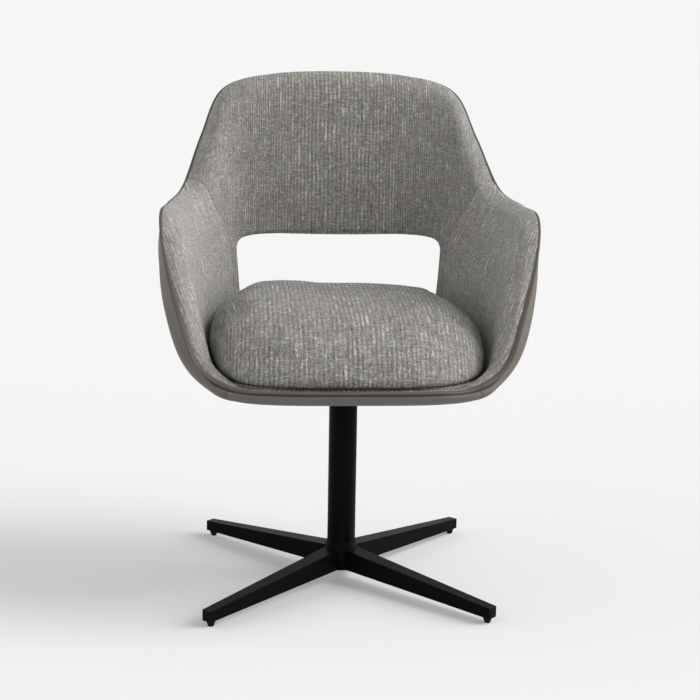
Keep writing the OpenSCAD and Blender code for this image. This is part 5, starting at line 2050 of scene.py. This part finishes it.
@dataclass
class Studio:
    """Camera, pale floor, backdrop and soft light."""

    distance: float = 2.5588
    camera_z: float = 0.9465
    azimuth: float = -4.3
    pitch: float = 11.97
    yaw: float = 0.22
    roll: float = 1.0
    focal_px: float = 1539.5
    frame_px: float = 700.0
    sensor: float = 36.0
    floor_half: float = 200.0
    floor_tone: float = 0.80
    floor_glow: float = 0.14
    fill: float = 0.385
    fill_right: float = 1.6
    fill_left: float = 1.1
    backdrop_tone: float = 0.921
    lamps: tuple[Lamp, ...] = (Lamp("key", 1.42, 9.0, 46.0, 28.0), Lamp("side", 0.95, 0.0, 20.0, 28.0))

    def camera(self) -> bpy.types.Object:
        """Makes the camera at the photograph's viewing angle. Returns: the camera."""
        data = bpy.data.cameras.new("camera")
        data.sensor_width = self.sensor
        data.lens = self.focal_px * self.sensor / self.frame_px
        data.clip_end = 100
        made = bpy.data.objects.new("camera", data)
        bpy.context.scene.collection.objects.link(made)
        turn = math.radians(-self.azimuth)
        place = Vector((-math.sin(turn), -math.cos(turn), 0)) * self.distance
        place.z = self.camera_z
        heading = turn + math.radians(self.yaw)
        made.matrix_world = (
            Matrix.Translation(place)
            @ Matrix.Rotation(-heading, 4, "Z")
            @ Matrix.Rotation(math.pi / 2 - math.radians(self.pitch), 4, "X")
            @ Matrix.Rotation(math.radians(self.roll), 4, "Z")
        )
        bpy.context.scene.camera = made
        return made

    @staticmethod
    def seen(n: Nodes) -> object:
        """One for the rays that show the backdrop, not its light. Args: n. Returns: a socket."""
        path = n.add("ShaderNodeLightPath")
        seen = n.math("MAXIMUM", path.outputs["Is Camera Ray"], path.outputs["Is Glossy Ray"])
        return n.math("MAXIMUM", seen, path.outputs["Is Transmission Ray"])

    def floor(self) -> bpy.types.Object:
        """Makes the floor with its finish. Returns: the floor."""
        h = self.floor_half
        points = np.array([(-h, -h, 0), (h, -h, 0), (h, h, 0), (-h, h, 0)], float)
        made = build_mesh("studio_floor", points, [(0, 1, 2, 3)])
        material = bpy.data.materials.new("studio_floor")
        material.use_nodes = True
        n = Nodes(material.node_tree)
        shader = material.node_tree.nodes["Principled BSDF"]
        pale = n.times(self.seen(n), self.floor_glow)
        n.put(shader.inputs["Base Color"], n.times(n.math("SUBTRACT", 1.0, pale), self.floor_tone))
        n.put(shader.inputs["Emission Color"], n.times(pale, self.backdrop_tone))
        shader.inputs["Emission Strength"].default_value = 1.0
        shader.inputs["Roughness"].default_value = 1.0
        shader.inputs["Specular IOR Level"].default_value = 0.0
        made.data.materials.append(material)
        return made

    def lamp(self, lamp: Lamp) -> None:
        """Makes one distant light. Args: lamp: its settings."""
        data = bpy.data.lights.new(lamp.name, "SUN")
        data.energy = lamp.strength
        data.angle = math.radians(lamp.softness)
        made = bpy.data.objects.new(lamp.name, data)
        bpy.context.scene.collection.objects.link(made)
        a, e = math.radians(lamp.azimuth), math.radians(lamp.elevation)
        direction = Vector((math.cos(a) * math.cos(e), -math.sin(a) * math.cos(e), math.sin(e)))
        made.matrix_world = direction.to_track_quat("Z", "Y").to_matrix().to_4x4()

    def light(self) -> None:
        """Makes the lamps and the world that fills the shadows, stronger from both sides."""
        for lamp in self.lamps:
            self.lamp(lamp)
        world = bpy.data.worlds.new("studio")
        bpy.context.scene.world = world
        world.use_nodes = True
        n = Nodes(world.node_tree)
        world.node_tree.nodes.clear()
        light, shown = n.add("ShaderNodeBackground"), n.add("ShaderNodeBackground")
        n.put(light.inputs["Color"], (1, 1, 1, 1))
        x = n.split(n.add("ShaderNodeTexCoord").outputs["Generated"])[0]
        sideways = n.times(x, x)
        right = n.math("GREATER_THAN", x, 0.0)
        side = n.plus(self.fill_left, n.times(right, self.fill_right - self.fill_left))
        n.put(light.inputs["Strength"], n.plus(self.fill, n.times(sideways, side)))
        tone = self.backdrop_tone
        n.put(shown.inputs["Color"], (tone, tone, tone, 1))
        both = n.add("ShaderNodeMixShader")
        n.put(both.inputs[0], self.seen(n))
        n.put(both.inputs[1], light.outputs[0])
        n.put(both.inputs[2], shown.outputs[0])
        out = n.add("ShaderNodeOutputWorld")
        n.put(out.inputs["Surface"], both.outputs[0])


def build_shell(paint: Paintwork) -> ShellNet:
    """Builds the pads, covers, strip and deck. Args: paint: the finishes. Returns: the shell's net."""
    net = ShellNet()
    front, back, whole = net.front_station, net.back_station, 2 * net.last
    pads = [
        LongPad(net, "front_pad_soft", ("front_pad",), "shell_fabric", -front, front, seed=3.0),
        LongPad(net, "arm_pad_right_soft", ("arm_pad_right",), "shell_fabric", front, back, seed=5.0),
        LongPad(
            net, "arm_pad_left_soft", ("arm_pad_left",), "shell_fabric", whole - back, whole - front, seed=8.0
        ),
        BackPad(net, "back_pad_soft", ("back_pad",), "shell_fabric", back, whole - back, seed=13.0),
    ]
    for pad in pads:
        made = pad.build()
        paint.dress(made, Wear.ARM_CLOTH if "arm" in made.name else Wear.CLOTH)
        log.info("pad %s: %d points", made.name, len(made.data.vertices))
    covers = [
        CoverPanel(net, "front_cover_leather", ("front_cover",), "cover_leather", -front, front),
        CoverPanel(net, "side_cover_right_leather", ("side_cover_right",), "cover_leather", front, back),
        CoverPanel(
            net, "side_cover_left_leather", ("side_cover_left",), "cover_leather", whole - back, whole - front
        ),
        BackCover(net, "back_cover_leather", ("back_cover",), "cover_leather", back, whole - back),
    ]
    for cover in covers:
        made = cover.build()
        paint.dress(made, Wear.LEATHER)
        log.info("cover %s: %d points", made.name, len(made.data.vertices))
    strip = EdgeStrip(net).build()
    paint.dress(strip, Wear.STRIP_LEATHER)
    log.info("edge strip: %d points", len(strip.data.vertices))
    deck = DeckPad(net).build()
    paint.dress(deck, Wear.CLOTH)
    log.info("deck pad: %d points", len(deck.data.vertices))
    return net


def main() -> None:
    """Builds the scene in order and reports each piece."""
    logging.basicConfig(level=logging.INFO, format="%(name)s: %(message)s")
    studio = Studio()
    studio.camera()
    studio.floor()
    studio.light()
    log.info("studio ready")
    paint = Paintwork()
    paint.build()
    net = build_shell(paint)
    cushion = SeatCushion(net).build()
    paint.dress(cushion, Wear.CUSHION_CLOTH)
    log.info("cushion: %d points", len(cushion.data.vertices))
    base = BaseDressing()
    paint.dress_nodes()
    base.soften()
    for index, angle in enumerate(base.angles):
        paint.dress(base.weld_bead(index, angle), Wear.STEEL)
    log.info("base dressed")
    scene = bpy.context.scene
    scene.view_settings.view_transform = "Standard"


if __name__ == "__main__":
    main()
